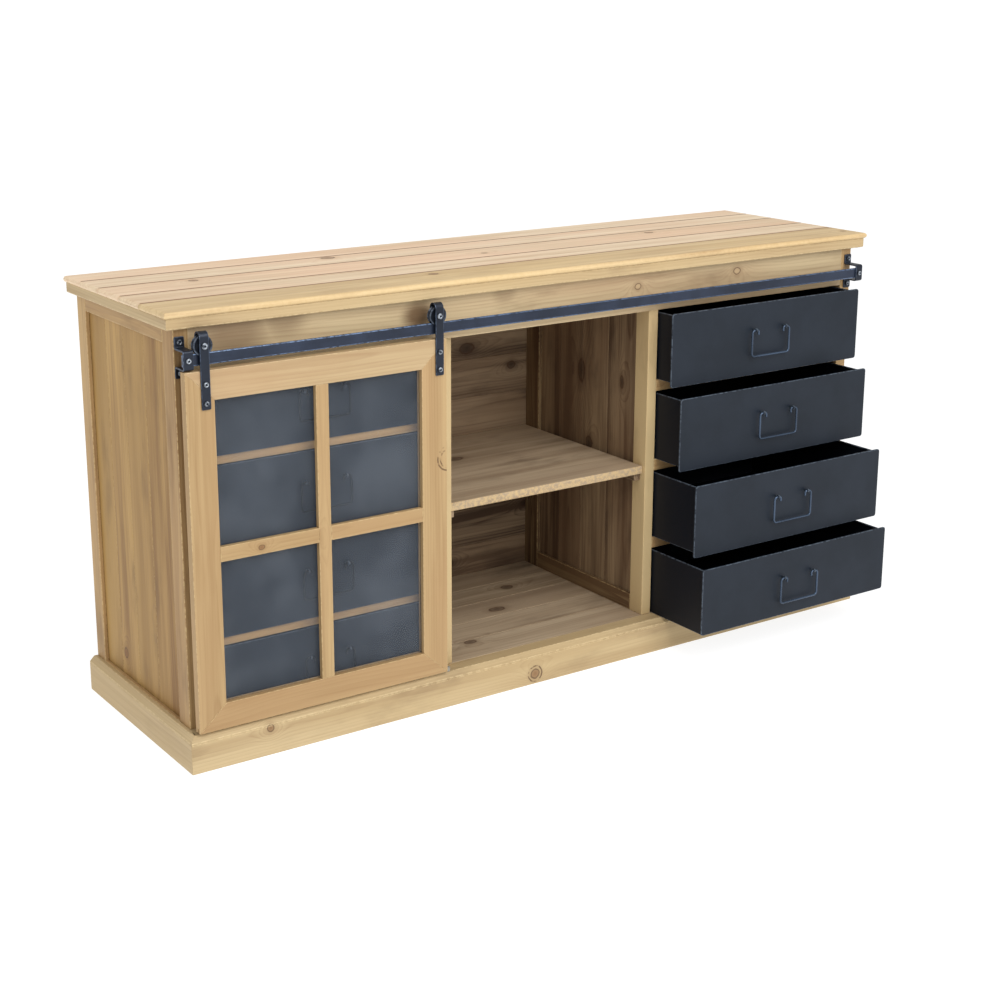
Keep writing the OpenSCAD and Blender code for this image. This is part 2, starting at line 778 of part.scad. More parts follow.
// Four mitred strips that hold the glass in its rebate from behind
module door_beads() {
    x0 = pane_x0 - rebate_w;
    x1 = pane_x1 + rebate_w;
    z0 = pane_z0 - rebate_w;
    z1 = pane_z1 + rebate_w;
    w = rebate_w;
    g = joint_gap;
    outlines = [[[x0, z0 + g], [x0 + w, z0 + w + g], [x0 + w, z1 - w - g], [x0, z1 - g]],
        [[x1, z0 + g], [x1, z1 - g], [x1 - w, z1 - w - g], [x1 - w, z0 + w + g]],
        [[x0, z1], [x0 + w, z1 - w], [x1 - w, z1 - w], [x1, z1]],
        [[x0, z0], [x1, z0], [x1 - w, z0 + w], [x0 + w, z0 + w]]];
    color(honey) for (o = outlines)
        translate([0, door_y1, 0]) rotate([90, 0, 0]) linear_extrude(door_y1 - glass_y1) polygon(o);
}

// ---- hangers ----

// A strap bent over the wheel: a long front leg, a rounded bend and a short back leg
module hanger_strap(x) {
    r_out = (strap_y1 - strap_y0) / 2;
    r_in = r_out - strap_t;
    bend_z = strap_top - r_out;
    color(steel) difference() {
        translate([x - strap_w / 2, 0, 0]) rotate([90, 0, 90]) linear_extrude(strap_w) union() {
            translate([strap_y0, strap_low]) square([strap_t, bend_z - strap_low]);
            translate([strap_y1 - strap_t, strap_top - strap_back_l])
                square([strap_t, bend_z - strap_top + strap_back_l]);
            translate([track_mid_y, bend_z]) difference() {
                circle(r_out);
                circle(r_in);
                translate([-r_out - e, -r_out - e]) square([2 * (r_out + e), r_out + e]);
            }
        }
        y_hole(x, strap_y0 - e, axle_z, axle_d / 2 + screw_clear, strap_y1 - strap_y0 + 2 * e);
        for (z = door_screw_z)
            y_hole(x, strap_y0 - e, z, screw_d / 2 + screw_clear, strap_t + 2 * e);
    }
}

// A grooved wheel: half of its section turned about the axle
module hanger_wheel(x) {
    bore = axle_d / 2 + axle_clear;
    floor_r = wheel_r - rolling_gap;
    half = wheel_t / 2;
    gap = half - flange_t;
    color("#22242a") translate([x, track_mid_y, axle_z]) rotate([90, 0, 0])
        rotate_extrude($fn = 96) polygon([[bore, -half], [wheel_out, -half],
            [wheel_out, -gap], [floor_r, -gap], [floor_r, gap], [wheel_out, gap],
            [wheel_out, half], [bore, half]]);
}

module hanger_strap_left() { hanger_strap(strap_x[0]); }
module hanger_strap_right() { hanger_strap(strap_x[1]); }
module hanger_wheel_left() { hanger_wheel(strap_x[0]); }
module hanger_wheel_right() { hanger_wheel(strap_x[1]); }

// The axle bolts with their nuts, and two bolts with nuts that hold each strap to the door
module hanger_fasteners() {
    color(steel) for (x = strap_x) {
        screw(x, strap_y0, axle_z, axle_d, strap_y1 - strap_y0 + nut_h + bolt_proud,
            1.5 * axle_d, screw_head_h);
        nut(x, strap_y1, axle_z, axle_d);
        for (z = door_screw_z) {
            screw(x, strap_y0, z, screw_d, strap_t + door_t + nut_h,
                screw_head_d, screw_head_h);
            nut(x, door_y1, z, screw_d);
        }
    }
}

// A fin on a foot, screwed to the plinth, that runs in the groove under the door
module door_guide() {
    color("ivory") union() {
        block([guide_x0, guide_y - guide_fin_t / 2, plinth_h],
            [guide_x0 + guide_fin_l, guide_y - guide_fin_t / 2 + guide_foot_w,
                plinth_h + guide_foot_t]);
        block([guide_x0, guide_y - guide_fin_t / 2, plinth_h],
            [guide_x0 + guide_fin_l, guide_y + guide_fin_t / 2, plinth_h + guide_fin_h]);
    }
}

// ---- drawers ----

// A rectangle with rounded corners, centred on X, from z0 to z1
module rounded_plate(w, z0, z1, r) {
    translate([-w / 2 + r, z0]) square([w - 2 * r, z1 - z0]);
    translate([-w / 2, z0 + r]) square([w, z1 - z0 - 2 * r]);
    for (x = [-w / 2 + r, w / 2 - r], z = [z0 + r, z1 - r]) translate([x, z]) circle(r);
}

// The folded box, open above, with its upper edge rolled inwards
module drawer_box(z0) {
    y0 = front_back + joint_gap;
    y1 = y0 + drawer_len;
    difference() {
        block([-box_w / 2, y0, z0], [box_w / 2, y1, z0 + box_h]);
        block([-box_w / 2 + sheet_t, y0 + sheet_t, z0 + sheet_t],
            [box_w / 2 - sheet_t, y1 - sheet_t, z0 + box_h - hem_s]);
        block([-box_w / 2 + hem_s, y0 + hem_s, z0 + sheet_t],
            [box_w / 2 - hem_s, y1 - hem_s, z0 + box_h + e]);
    }
}

// An eye that stands on the front and holds one end of the handle
module handle_eye(x, z) {
    r = wire_r + eye_clear;
    translate([x - eye_w / 2, 0, z]) rotate([90, 0, 90]) difference() {
        linear_extrude(eye_w) union() {
            translate([pivot_y, 0]) circle(r + eye_wall);
            translate([pivot_y, -eye_foot / 2]) square([handle_reach - joint_gap, eye_foot]);
        }
        translate([pivot_y, 0, -e]) cylinder(r = r, h = eye_w + 2 * e);
    }
}

eye_x = handle_w / 2 - handle_bend_r - eye_w / 2 - 1;

module drawer(side, i, open) {
    color(coated) translate([side * bay_mid, -open, 0]) {
        drawer_box(opening_z(i) + drawer_lift);
        translate([0, front_back, 0]) rotate([90, 0, 0]) linear_extrude(front_t)
            rounded_plate(front_w, front_low(i), front_high(i), front_corner_r);
        for (s = [-1, 1]) handle_eye(s * eye_x, pivot_z(i));
    }
}

// One quarter bend of the wire in the XZ plane; it starts at the origin, going down, and
// turns towards +X
module wire_bend(r) {
    translate([r, 0, 0]) rotate([-90, 0, 0]) rotate([0, 0, 90])
        rotate_extrude(angle = 90) translate([r, 0]) circle(wire_r);
}

// Half of the bail: grip, corner, leg, corner, the end through the eye, corner, tip
module handle_half() {
    r = handle_bend_r;
    x = -handle_w / 2;
    end_x = x + handle_end_l;
    translate([x, 0, -handle_drop + r]) wire_bend(r);
    translate([x, 0, -handle_drop + r]) cylinder(r = wire_r, h = handle_drop - 2 * r);
    translate([x, 0, -r]) mirror([0, 0, 1]) wire_bend(r);
    translate([x + r, 0, 0]) rotate([0, 90, 0])
        cylinder(r = wire_r, h = handle_end_l - r - tip_r);
    translate([end_x, 0, -tip_r]) mirror([1, 0, 0]) mirror([0, 0, 1]) wire_bend(tip_r);
    translate([end_x, 0, -handle_tip_l]) cylinder(r = wire_r, h = handle_tip_l - tip_r);
    translate([x + r, 0, -handle_drop]) rotate([0, 90, 0]) cylinder(r = wire_r, h = -x - r);
}

module handle(side, i, open) {
    color(steel) translate([side * bay_mid, pivot_y - open, pivot_z(i)]) {
        handle_half();
        mirror([1, 0, 0]) handle_half();
    }
}

top_board(0);  // top_board_1
top_board(1);  // top_board_2
top_board(2);  // top_board_3
top_board(3);  // top_board_4
top_board(4);  // top_board_5
top_moulding();
side_frame_left();
side_frame_right();
side_planks_left();
side_planks_right();
partition_frame_left();
partition_frame_right();
partition_planks_left();
partition_planks_right();
face_rail();
back_planks();
bottom_boards();
middle_shelf();
shelf_cleats();
drawer_rails();
drawer_runners();
base_bearers();
base_back_rail();
plinth_front();
plinth_left();
plinth_right();
track_bar();
track_bracket_left();
track_bracket_right();
track_fasteners();
door_left_stile();
door_right_stile();
door_top_rail();
door_bottom_rail();
door_muntins();
door_glass();
door_beads();
hanger_strap_left();
hanger_strap_right();
hanger_wheel_left();
hanger_wheel_right();
hanger_fasteners();
door_guide();
drawer(-1, 0, 0);  // drawer_left_1
drawer(-1, 1, 0);  // drawer_left_2
drawer(-1, 2, 0);  // drawer_left_3
drawer(-1, 3, 0);  // drawer_left_4
drawer(1, 0, pull[0]);  // drawer_right_1
drawer(1, 1, pull[1]);  // drawer_right_2
drawer(1, 2, pull[2]);  // drawer_right_3
drawer(1, 3, pull[3]);  // drawer_right_4
handle(-1, 0, 0);  // handle_left_1
handle(-1, 1, 0);  // handle_left_2
handle(-1, 2, 0);  // handle_left_3
handle(-1, 3, 0);  // handle_left_4
handle(1, 0, pull[0]);  // handle_right_1
handle(1, 1, pull[1]);  // handle_right_2
handle(1, 2, pull[2]);  // handle_right_3
handle(1, 3, pull[3]);  // handle_right_4
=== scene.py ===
import math
import bpy
import bmesh
import numpy as np
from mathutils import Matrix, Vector


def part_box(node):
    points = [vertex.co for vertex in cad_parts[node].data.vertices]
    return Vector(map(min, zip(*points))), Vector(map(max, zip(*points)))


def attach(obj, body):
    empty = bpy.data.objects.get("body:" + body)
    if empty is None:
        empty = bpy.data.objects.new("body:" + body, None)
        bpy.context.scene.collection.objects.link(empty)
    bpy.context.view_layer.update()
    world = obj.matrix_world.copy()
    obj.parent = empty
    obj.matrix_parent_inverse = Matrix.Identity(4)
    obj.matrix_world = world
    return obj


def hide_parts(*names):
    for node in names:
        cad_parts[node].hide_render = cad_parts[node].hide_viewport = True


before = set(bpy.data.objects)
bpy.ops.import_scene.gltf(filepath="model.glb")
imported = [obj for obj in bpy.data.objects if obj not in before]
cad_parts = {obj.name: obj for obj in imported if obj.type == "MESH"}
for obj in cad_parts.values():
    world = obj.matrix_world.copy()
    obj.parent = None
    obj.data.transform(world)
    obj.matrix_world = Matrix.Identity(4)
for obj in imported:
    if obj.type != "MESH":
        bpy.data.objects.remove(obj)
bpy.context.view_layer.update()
mm = 0.001
rng = np.random.default_rng(11)
print("frame loaded,", len(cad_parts), "nodes")


# ---- mesh helpers ----

# Smooth random values along s: a new value every pitch, eased from one to the next
def drift(s, pitch):
    knots = rng.random(int(np.ptp(s) / pitch) + 3)
    t = (s - s.min()) / pitch
    i = t.astype(int)
    f = t - i
    f = f * f * (3 - 2 * f)
    return knots[i] * (1 - f) + knots[i + 1] * f


# Closed outline with rounded corners: round corner P the line is P + a r (1-t)^2 + b r t^2,
# with a and b the directions to its neighbours; one point more each side keeps the flats flat
def roundOutline(corners, radius, bend=3, margin=0.5 * mm):
    corners = np.asarray(corners, float)
    radius = np.broadcast_to(np.asarray(radius, float), corners.shape[:-1])
    before = np.roll(corners, 1, -2) - corners
    after = np.roll(corners, -1, -2) - corners
    beforeLen = np.linalg.norm(before, axis=-1)
    afterLen = np.linalg.norm(after, axis=-1)
    a = before / beforeLen[..., None]
    b = after / afterLen[..., None]
    r = np.minimum(radius, 0.4 * np.minimum(beforeLen, afterLen))
    t = np.linspace(0, 1, bend + 1)
    curve = (a[..., None, :] * (r[..., None] * (1 - t) ** 2)[..., None]
             + b[..., None, :] * (r[..., None] * t ** 2)[..., None])
    first = a * np.minimum(r + margin, 0.47 * beforeLen)[..., None]
    last = b * np.minimum(r + margin, 0.47 * afterLen)[..., None]
    line = np.concatenate([first[..., None, :], curve, last[..., None, :]], -2) + corners[..., None, :]
    weight = np.tile([0.0] + [1.0] * (bend + 1) + [0.0], corners.shape[-2])
    return line.reshape(*corners.shape[:-2], -1, 2), weight


# Quads between the rows of a grid of points that closes on itself across each row
def gridFaces(rows, cols, closedRows=False):
    i = np.arange(rows if closedRows else rows - 1)[:, None]
    j = np.arange(cols)[None, :]
    i2, j2 = (i + 1) % rows, (j + 1) % cols
    return np.stack([i * cols + j + 0 * i, i * cols + j2, i2 * cols + j2, i2 * cols + j], -1).reshape(-1, 4)


# A part: points in rows, capped at both ends unless the rows close, turned so that it faces outwards
def gridPart(points, edge, closedRows=False, grain=None, tone=0.5):
    rows, cols = points.shape[:2]
    verts = points.reshape(-1, 3)
    quads = gridFaces(rows, cols, closedRows)
    caps = [] if closedRows else [np.arange(cols)[::-1], (rows - 1) * cols + np.arange(cols)]
    q = verts[quads]
    volume = np.einsum("ij,ij->i", q[:, 0], np.cross(q[:, 1], q[:, 2]) + np.cross(q[:, 2], q[:, 3])).sum()
    for c in caps:
        p = verts[c]
        volume += np.einsum("ij,ij->i", p[:1].repeat(len(c) - 2, 0), np.cross(p[1:-1], p[2:])).sum()
    if volume < 0:
        quads = quads[:, ::-1]
        caps = [c[::-1] for c in caps]
    return {"verts": verts, "quads": quads, "caps": caps, "tone": tone,
            "edge": np.broadcast_to(edge, (rows, cols)).reshape(-1),
            "grain": verts if grain is None else grain.reshape(-1, 3)}


# Corners of a CAD node's box
def boxOf(cadName):
    low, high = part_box(cadName)
    return np.array(low), np.array(high)


def placePiece(name, mesh, body, cadName, material):
    mesh.update()
    piece = bpy.data.objects.new(name, mesh)
    bpy.context.scene.collection.objects.link(piece)
    mesh.materials.clear()
    mesh.materials.append(material)
    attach(piece, body)
    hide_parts(cadName)


def addAttribute(mesh, name, values, vector=False, domain="POINT"):
    kind, field = ("FLOAT_VECTOR", "vector") if vector else ("FLOAT", "value")
    mesh.attributes.new(name, kind, domain).data.foreach_set(field, np.asarray(values, np.float32).ravel())


# One object from several parts, with its attributes, body and material
def makePiece(name, parts, body, cadName, material):
    verts, faces, start = [], [], 0
    for p in parts:
        verts.append(p["verts"])
        faces += (p["quads"] + start).tolist() + [(c + start).tolist() for c in p["caps"]]
        start += len(p["verts"])
    mesh = bpy.data.meshes.new(name)
    mesh.from_pydata(np.concatenate(verts).tolist(), [], faces)
    mesh.polygons.foreach_set("use_smooth", np.ones(len(faces), bool))
    addAttribute(mesh, "edge", np.concatenate([p["edge"] for p in parts]))
    addAttribute(mesh, "tone", np.concatenate([np.full(len(p["verts"]), p["tone"]) for p in parts]))
    addAttribute(mesh, "grain", np.concatenate([p["grain"] for p in parts]), vector=True)
    placePiece(name, mesh, body, cadName, material)


# Box of each separate solid of a CAD node. Every corner starts with a label of its own, and the lowest
# label spreads over each triangle until nothing changes
def solidsOf(node):
    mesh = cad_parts[node].data
    co = np.zeros(len(mesh.vertices) * 3)
    mesh.vertices.foreach_get("co", co)
    mesh.calc_loop_triangles()
    tris = np.zeros(len(mesh.loop_triangles) * 3, int)
    mesh.loop_triangles.foreach_get("vertices", tris)
    spots, where = np.unique(co.reshape(-1, 3).round(6), axis=0, return_inverse=True)
    tris = where.reshape(-1)[tris].reshape(-1, 3)
    label = np.arange(len(spots))
    while True:
        low = label[tris].min(1)
        new = label.copy()
        np.minimum.at(new, tris.ravel(), low.repeat(3))
        if (new == label).all():
            break
        label = new
    found = [(spots[label == k].min(0), spots[label == k].max(0)) for k in np.unique(label)]
    return sorted(found, key=lambda b: tuple(b[0].round(4)))


# ---- boards ----

boards = {
    "stationPitch": 45 * mm,   # distance between rows of points along a board
    "edgeRadius": 1.3 * mm,    # rounding of a handled edge
    "wear": 0.7,               # how unevenly the edges are rubbed
    "wearPitch": 2.5,          # rows from one change of the rounding to the next
    "flatMargin": 0.5 * mm,    # from the rounding to the first point of the flat
    "heartAside": 0.7,         # how far from the middle the log's heart may lie, in half widths
    "heartDepth": (0.012, 0.05),
}


# A straight board. Its section is an outline in axes a and b, and each point of it runs along axis s
# from low(a, b) to high(a, b). At each end the outline shrinks by r (1 - sin f) while s grows by
# r (1 - cos f), f from 0 to a quarter turn, which rounds the end's edges.
def board(corners, low, high, along, radius=None, endRadius=None, split=None, tone=None):
    radius = boards["edgeRadius"] if radius is None else radius
    endRadius = radius if endRadius is None else endRadius
    corners = np.asarray(corners, float)
    aAxis, bAxis = [i for i in range(3) if i != along]
    lowAt = low if callable(low) else (lambda a, b: np.full(a.shape, float(low)))
    highAt = high if callable(high) else (lambda a, b: np.full(a.shape, float(high)))
    centre = (corners.min(0) + corners.max(0)) / 2
    half = (corners.max(0) - corners.min(0)) / 2
    span = float((highAt(centre[:1], centre[1:]) - lowAt(centre[:1], centre[1:]))[0])
    middle = np.linspace(0, 1, max(3, int(span / boards["stationPitch"])) + 1)[1:-1]
    if split is not None:  # another outline beyond one place along the board
        place, other = split
        middle = np.concatenate([middle[middle < place], [place, place], middle[middle > place]])
    f = np.linspace(0, math.pi / 2, 3)
    margin = boards["flatMargin"]
    endInset = np.concatenate([[endRadius + margin], endRadius * (1 - np.sin(f)), [0]])
    endShift = np.concatenate([[0], endRadius * (1 - np.cos(f)), [endRadius + margin]])
    endEdge = np.array([0, 1, 1, 1, 0.0])
    endRows = len(endEdge)
    share = np.concatenate([np.zeros(endRows), middle, np.ones(endRows)])
    shift = np.concatenate([endShift, 0 * middle, -endShift[::-1]])
    inset = np.concatenate([endInset, 0 * middle, endInset[::-1]])
    rowEdge = np.concatenate([endEdge, 0 * middle, endEdge[::-1]])
    shapes = np.broadcast_to(corners, (len(share), *corners.shape)).copy()
    if split is not None:
        shapes[endRows + 1 + np.searchsorted(middle, place):] = other
    rough = np.stack([drift(np.arange(len(share)) * 1.0, boards["wearPitch"]) for _ in corners], 1)
    rough = 1 + boards["wear"] * (rough - 0.4)
    outline, weight = roundOutline(shapes, radius * rough)
    scale = 1 - inset[:, None, None] / half
    outline = centre + (outline - centre) * scale
    a, b = outline[..., 0], outline[..., 1]
    s = lowAt(a, b) * (1 - share[:, None]) + highAt(a, b) * share[:, None] + shift[:, None]
    points = np.zeros((*a.shape, 3))
    points[..., aAxis], points[..., bAxis], points[..., along] = a, b, s
    # the log's heart lies under the board's wide face, so the year rings meet the face as long arches
    wide, thin = (a - centre[0], b - centre[1]) if half[0] >= half[1] else (b - centre[1], a - centre[0])
    offset = rng.uniform(-boards["heartAside"], boards["heartAside"]) * max(half)
    depth = rng.choice([-1, 1]) * rng.uniform(*boards["heartDepth"])
    start = rng.uniform(-1, 1)
    grain = np.stack([s - lowAt(centre[:1], centre[1:])[0] + start, wide + offset, thin + depth], -1)
    ownTone = rng.random()
    return gridPart(points, np.maximum(weight[None, :], rowEdge[:, None]), grain=grain,
                    tone=ownTone if tone is None else tone)


# The rectangle between two corners of a box, seen along one axis
def rectangle(lo, hi, along):
    a, b = [i for i in range(3) if i != along]
    return [[lo[a], lo[b]], [hi[a], lo[b]], [hi[a], hi[b]], [lo[a], hi[b]]]


def plainBoard(lo, hi, along=None, **more):
    along = int(np.argmax(hi - lo)) if along is None else along
    return board(rectangle(lo, hi, along), lo[along], hi[along], along, **more)


# A rectangle with a groove from g0 to g1 in its side at the high (or low) end of the axis `deep`
def groovedRectangle(lo, hi, along, deep, atHigh, g0, g1, depth):
    a, b = [i for i in range(3) if i != along]
    wide = b if deep == a else a
    face = hi[deep] if atHigh else lo[deep]
    back = lo[deep] if atHigh else hi[deep]
    floor = face - depth if atHigh else face + depth
    ring = [(lo[wide], back), (hi[wide], back), (hi[wide], face), (g1, face), (g1, floor),
            (g0, floor), (g0, face), (lo[wide], face)]
    return [(v, w) if wide == a else (w, v) for v, w in ring]


# ---- metal shapes ----

# Open line with its corners rounded: each inner corner becomes a short curve as in roundOutline
def roundPath(points, radii, bend=5):
    points = np.asarray(points, float)
    a = points[:-2] - points[1:-1]
    b = points[2:] - points[1:-1]
    a /= np.linalg.norm(a, axis=1)[:, None]
    b /= np.linalg.norm(b, axis=1)[:, None]
    r = np.broadcast_to(np.asarray(radii, float), len(a))
    t = np.linspace(0, 1, bend + 1)
    # a true arc: the tangent length is r tan(turn / 2), and the middle weight cos(turn / 2) makes it a circle
    turn = np.arccos(np.clip(-(a * b).sum(1), -1, 1))
    reach = r * np.tan(turn / 2)
    w = np.cos(turn / 2)[:, None]
    k = (1 - t) ** 2 + 2 * w * t * (1 - t) + t ** 2
    curve = (a[:, None, :] * (reach[:, None] * (1 - t) ** 2 / k)[..., None]
             + b[:, None, :] * (reach[:, None] * t ** 2 / k)[..., None]) + points[1:-1, None, :]
    return np.concatenate([points[:1], curve.reshape(-1, points.shape[1]), points[-1:]])


# Length along an open line at each of its points
def lengthAlong(line):
    return np.concatenate([[0], np.cumsum(np.linalg.norm(np.diff(line, axis=0), axis=1))])


# The line's places at the lengths `at`, and its unit directions there
def walk(line, length, at):
    path = np.stack([np.interp(at, length, line[:, k]) for k in range(2)], 1)
    tangent = np.gradient(path, at, axis=0)
    return path, tangent / np.linalg.norm(tangent, axis=1)[:, None]


# Sheet strap: a rounded rectangle carried along a line in the plane of Y and Z, its width along X;
# near each end the half width shrinks as a circle of radius `corner`
def strapPart(line, xMid, width, thick, corner, easing=0.6 * mm):
    line = np.asarray(line, float)
    length = lengthAlong(line)
    stops = corner * (1 - np.cos(np.linspace(0, math.pi / 2, 5)))
    extra = np.concatenate([stops + 0.3 * mm, length[-1] - stops - 0.3 * mm, [length[-1]], length])
    at = np.unique(np.clip(extra, 0, length[-1]).round(7))
    path, tangent = walk(line, length, at)
    normal = np.stack([-tangent[:, 1], tangent[:, 0]], 1)
    toEnd = np.minimum(at, length[-1] - at)
    inside = np.clip(toEnd, 0, corner)
    narrow = corner - np.sqrt(np.maximum(corner ** 2 - (corner - inside) ** 2, 0))
    h, w = thick / 2, width / 2
    outline, weight = roundOutline([[-w, -h], [w, -h], [w, h], [-w, h]], easing, margin=0.4 * mm)
    ends = (toEnd < 0.35 * mm)
    x = outline[None, :, 0] * (1 - (narrow / w))[:, None]
    n = outline[None, :, 1] * np.where(ends, 0.75, 1)[:, None]
    points = np.stack([xMid + x, path[:, :1] + normal[:, :1] * n, path[:, 1:] + normal[:, 1:] * n], -1)
    return gridPart(points, np.maximum(weight[None, :], ends[:, None] * 1.0))


# Turned shape about a line along Y, one row per ring: radius, place along the line, 1 for a six-sided
# ring, edge weight. A six-sided ring's radius is the flat's distance over cos of the angle from its middle
def turnedPart(centre, rows, sides=36, closedRows=False):
    rows = np.asarray(rows, float)
    angle = np.arange(sides) * 2 * math.pi / sides
    flat = 1 / np.cos((angle + math.pi / 6) % (math.pi / 3) - math.pi / 6)
    r = rows[:, :1] * np.where(rows[:, 2:3] > 0, flat[None, :], 1)
    points = np.stack([centre[0] + r * np.cos(angle), centre[1] + rows[:, 1:2] + 0 * r,
                       centre[2] + r * np.sin(angle)], -1)
    return gridPart(points, rows[:, 3:4], closedRows)


# Round wire along a line in the plane of X and Z: a circle carried along it, the ends domed
def wirePart(line, y, radius, sides=14):
    line = np.asarray(line, float)
    length = lengthAlong(line)
    dome = radius * (1 - np.cos(np.linspace(0.25, math.pi / 2, 4)))
    at = np.unique(np.concatenate([dome, length[-1] - dome, length[1:-1]]).round(7))
    path, tangent = walk(line, length, at)
    near = np.clip(np.minimum(at, length[-1] - at) / radius, 0, 1)
    r = radius * np.sqrt(np.maximum(1 - (1 - near) ** 2, 0))
    angle = np.arange(sides) * 2 * math.pi / sides
    side = r[:, None] * np.cos(angle)
    points = np.stack([path[:, :1] - tangent[:, 1:] * side, y + r[:, None] * np.sin(angle),
                       path[:, 1:] + tangent[:, :1] * side], -1)
    return gridPart(points, 0.0 * near[:, None])


# A stack of rounded rectangles. Each row says how far it lies inside the outer rectangle, its place
# along the stacking axis, its corner radius and its edge weight
def stackedPart(lo, hi, along, rows, tone=0.0):
    rows = np.asarray(rows, float)
    a, b = [i for i in range(3) if i != along]
    inset = rows[:, 0]
    aLow, aHigh, bLow, bHigh = lo[a] + inset, hi[a] - inset, lo[b] + inset, hi[b] - inset
    corners = np.stack([np.stack(c, -1) for c in ((aLow, bLow), (aHigh, bLow), (aHigh, bHigh), (aLow, bHigh))], 1)
    outline, _ = roundOutline(corners, rows[:, 2:3], bend=5, margin=0.4 * mm)
    points = np.zeros((*outline.shape[:2], 3))
    points[..., a], points[..., b] = outline[..., 0], outline[..., 1]
    points[..., along] = rows[:, 1:2]
    return gridPart(points, rows[:, 3:4], tone=tone)


# ---- shader maths ----

# A socket that takes part in sums; the operators add Math nodes, everything else goes through node()
class Wire:
    def __init__(self, tree, socket):
        self.tree, self.socket = tree, socket

    def math(self, operation, *values):
        return node(self.tree, "ShaderNodeMath", {"operation": operation}, dict(enumerate(values)))

    def __add__(self, other): return self.math("ADD", self, other)
    def __radd__(self, other): return self.math("ADD", other, self)
    def __sub__(self, other): return self.math("SUBTRACT", self, other)
    def __rsub__(self, other): return self.math("SUBTRACT", other, self)
    def __mul__(self, other): return self.math("MULTIPLY", self, other)
    def __rmul__(self, other): return self.math("MULTIPLY", other, self)
    def __truediv__(self, other): return self.math("DIVIDE", self, other)
    def __pow__(self, other): return self.math("POWER", self, other)

    def of(self, operation, *others):
        return self.math(operation, self, *others)

    # 0 below a, 1 above b, eased between
    def step(self, a, b):
        return node(self.tree, "ShaderNodeMapRange", {"interpolation_type": "SMOOTHSTEP"},
                    {"Value": self, "From Min": a, "From Max": b})


# Adds a node: settings first, then values or links of its inputs; gives back the wanted output
def node(tree, kind, settings=None, inputs=None, out=0):
    made = tree.nodes.new(kind)
    for key, value in (settings or {}).items():
        setattr(made, key, value)
    for key, value in (inputs or {}).items():
        if isinstance(value, Wire):
            tree.links.new(value.socket, made.inputs[key])
        else:
            made.inputs[key].default_value = value
    return Wire(tree, made.outputs[out]) if len(made.outputs) else None


def linear(*rgb):
    c = np.array(rgb) / 255
    return (*np.where(c <= 0.04045, c / 12.92, ((c + 0.055) / 1.055) ** 2.4), 1.0)


def blendColor(tree, factor, a, b, how="MIX"):
    return node(tree, "ShaderNodeMix", {"data_type": "RGBA", "blend_type": how, "clamp_factor": True},
                {0: factor, 6: a, 7: b}, out=2)


def vectorMath(tree, operation, *values, out=0):
    return node(tree, "ShaderNodeVectorMath", {"operation": operation}, dict(enumerate(values)), out)


def scaled(tree, vector, *factors):
    return vectorMath(tree, "MULTIPLY", vector, factors)


def noise(tree, vector, scale, detail=2.0, roughness=0.5):
    return node(tree, "ShaderNodeTexNoise", {"noise_dimensions": "3D"},
                {"Vector": vector, "Scale": scale, "Detail": detail, "Roughness": roughness})


def attribute(tree, name, out):
    return node(tree, "ShaderNodeAttribute", {"attribute_name": name}, out=out)


def objectPlace(tree):
    return node(tree, "ShaderNodeTexCoord", out="Object")


def newMaterial(name):
    material = bpy.data.materials.new(name)
    material.use_nodes = True
    material.node_tree.nodes.clear()
    return material, material.node_tree


def finishMaterial(tree, color, roughness, height=None, bump=0.5, distance=0.3 * mm, **constants):
    inputs = {"Base Color": color, "Roughness": roughness}
    inputs.update({k.replace("_", " "): v for k, v in constants.items()})
    if height is not None:
        inputs["Normal"] = node(tree, "ShaderNodeBump", {}, {"Strength": bump, "Distance": distance, "Height": height})
    shader = node(tree, "ShaderNodeBsdfPrincipled", {}, inputs)
    node(tree, "ShaderNodeOutputMaterial", {}, {"Surface": shader})


# ---- pine ----

pine = {
    "ringWidth": 5.5 * mm,      # from one year to the next
    "ringContrast": 0.42,
    "fibreContrast": 0.50,
    "streakContrast": 0.62,
    "patchShare": 0.75,         # how strongly the second colour shows
    "stain": 0.35,              # strength of the brown-grey stain left in soft patches
    "stainColor": (104, 78, 52),
    "lineColor": (74, 46, 28),  # the line round a knot
    "knotCell": (0.55, 0.13),   # one place for a knot in each patch of this length and width
    "knotShare": 0.30,          # how many of those places hold one
    "knotSize": 9 * mm,
    "knotColor": (120, 78, 46),
    "boardSpread": 0.30,        # tone from board to board
    "dirtColor": (112, 72, 44),  # dirt in the seams
    "knotStretch": (1, 1, 1),   # below 1 along an axis makes single knots longer that way
    "streakScale": 34.0,
    "sheen": 0.32,
}


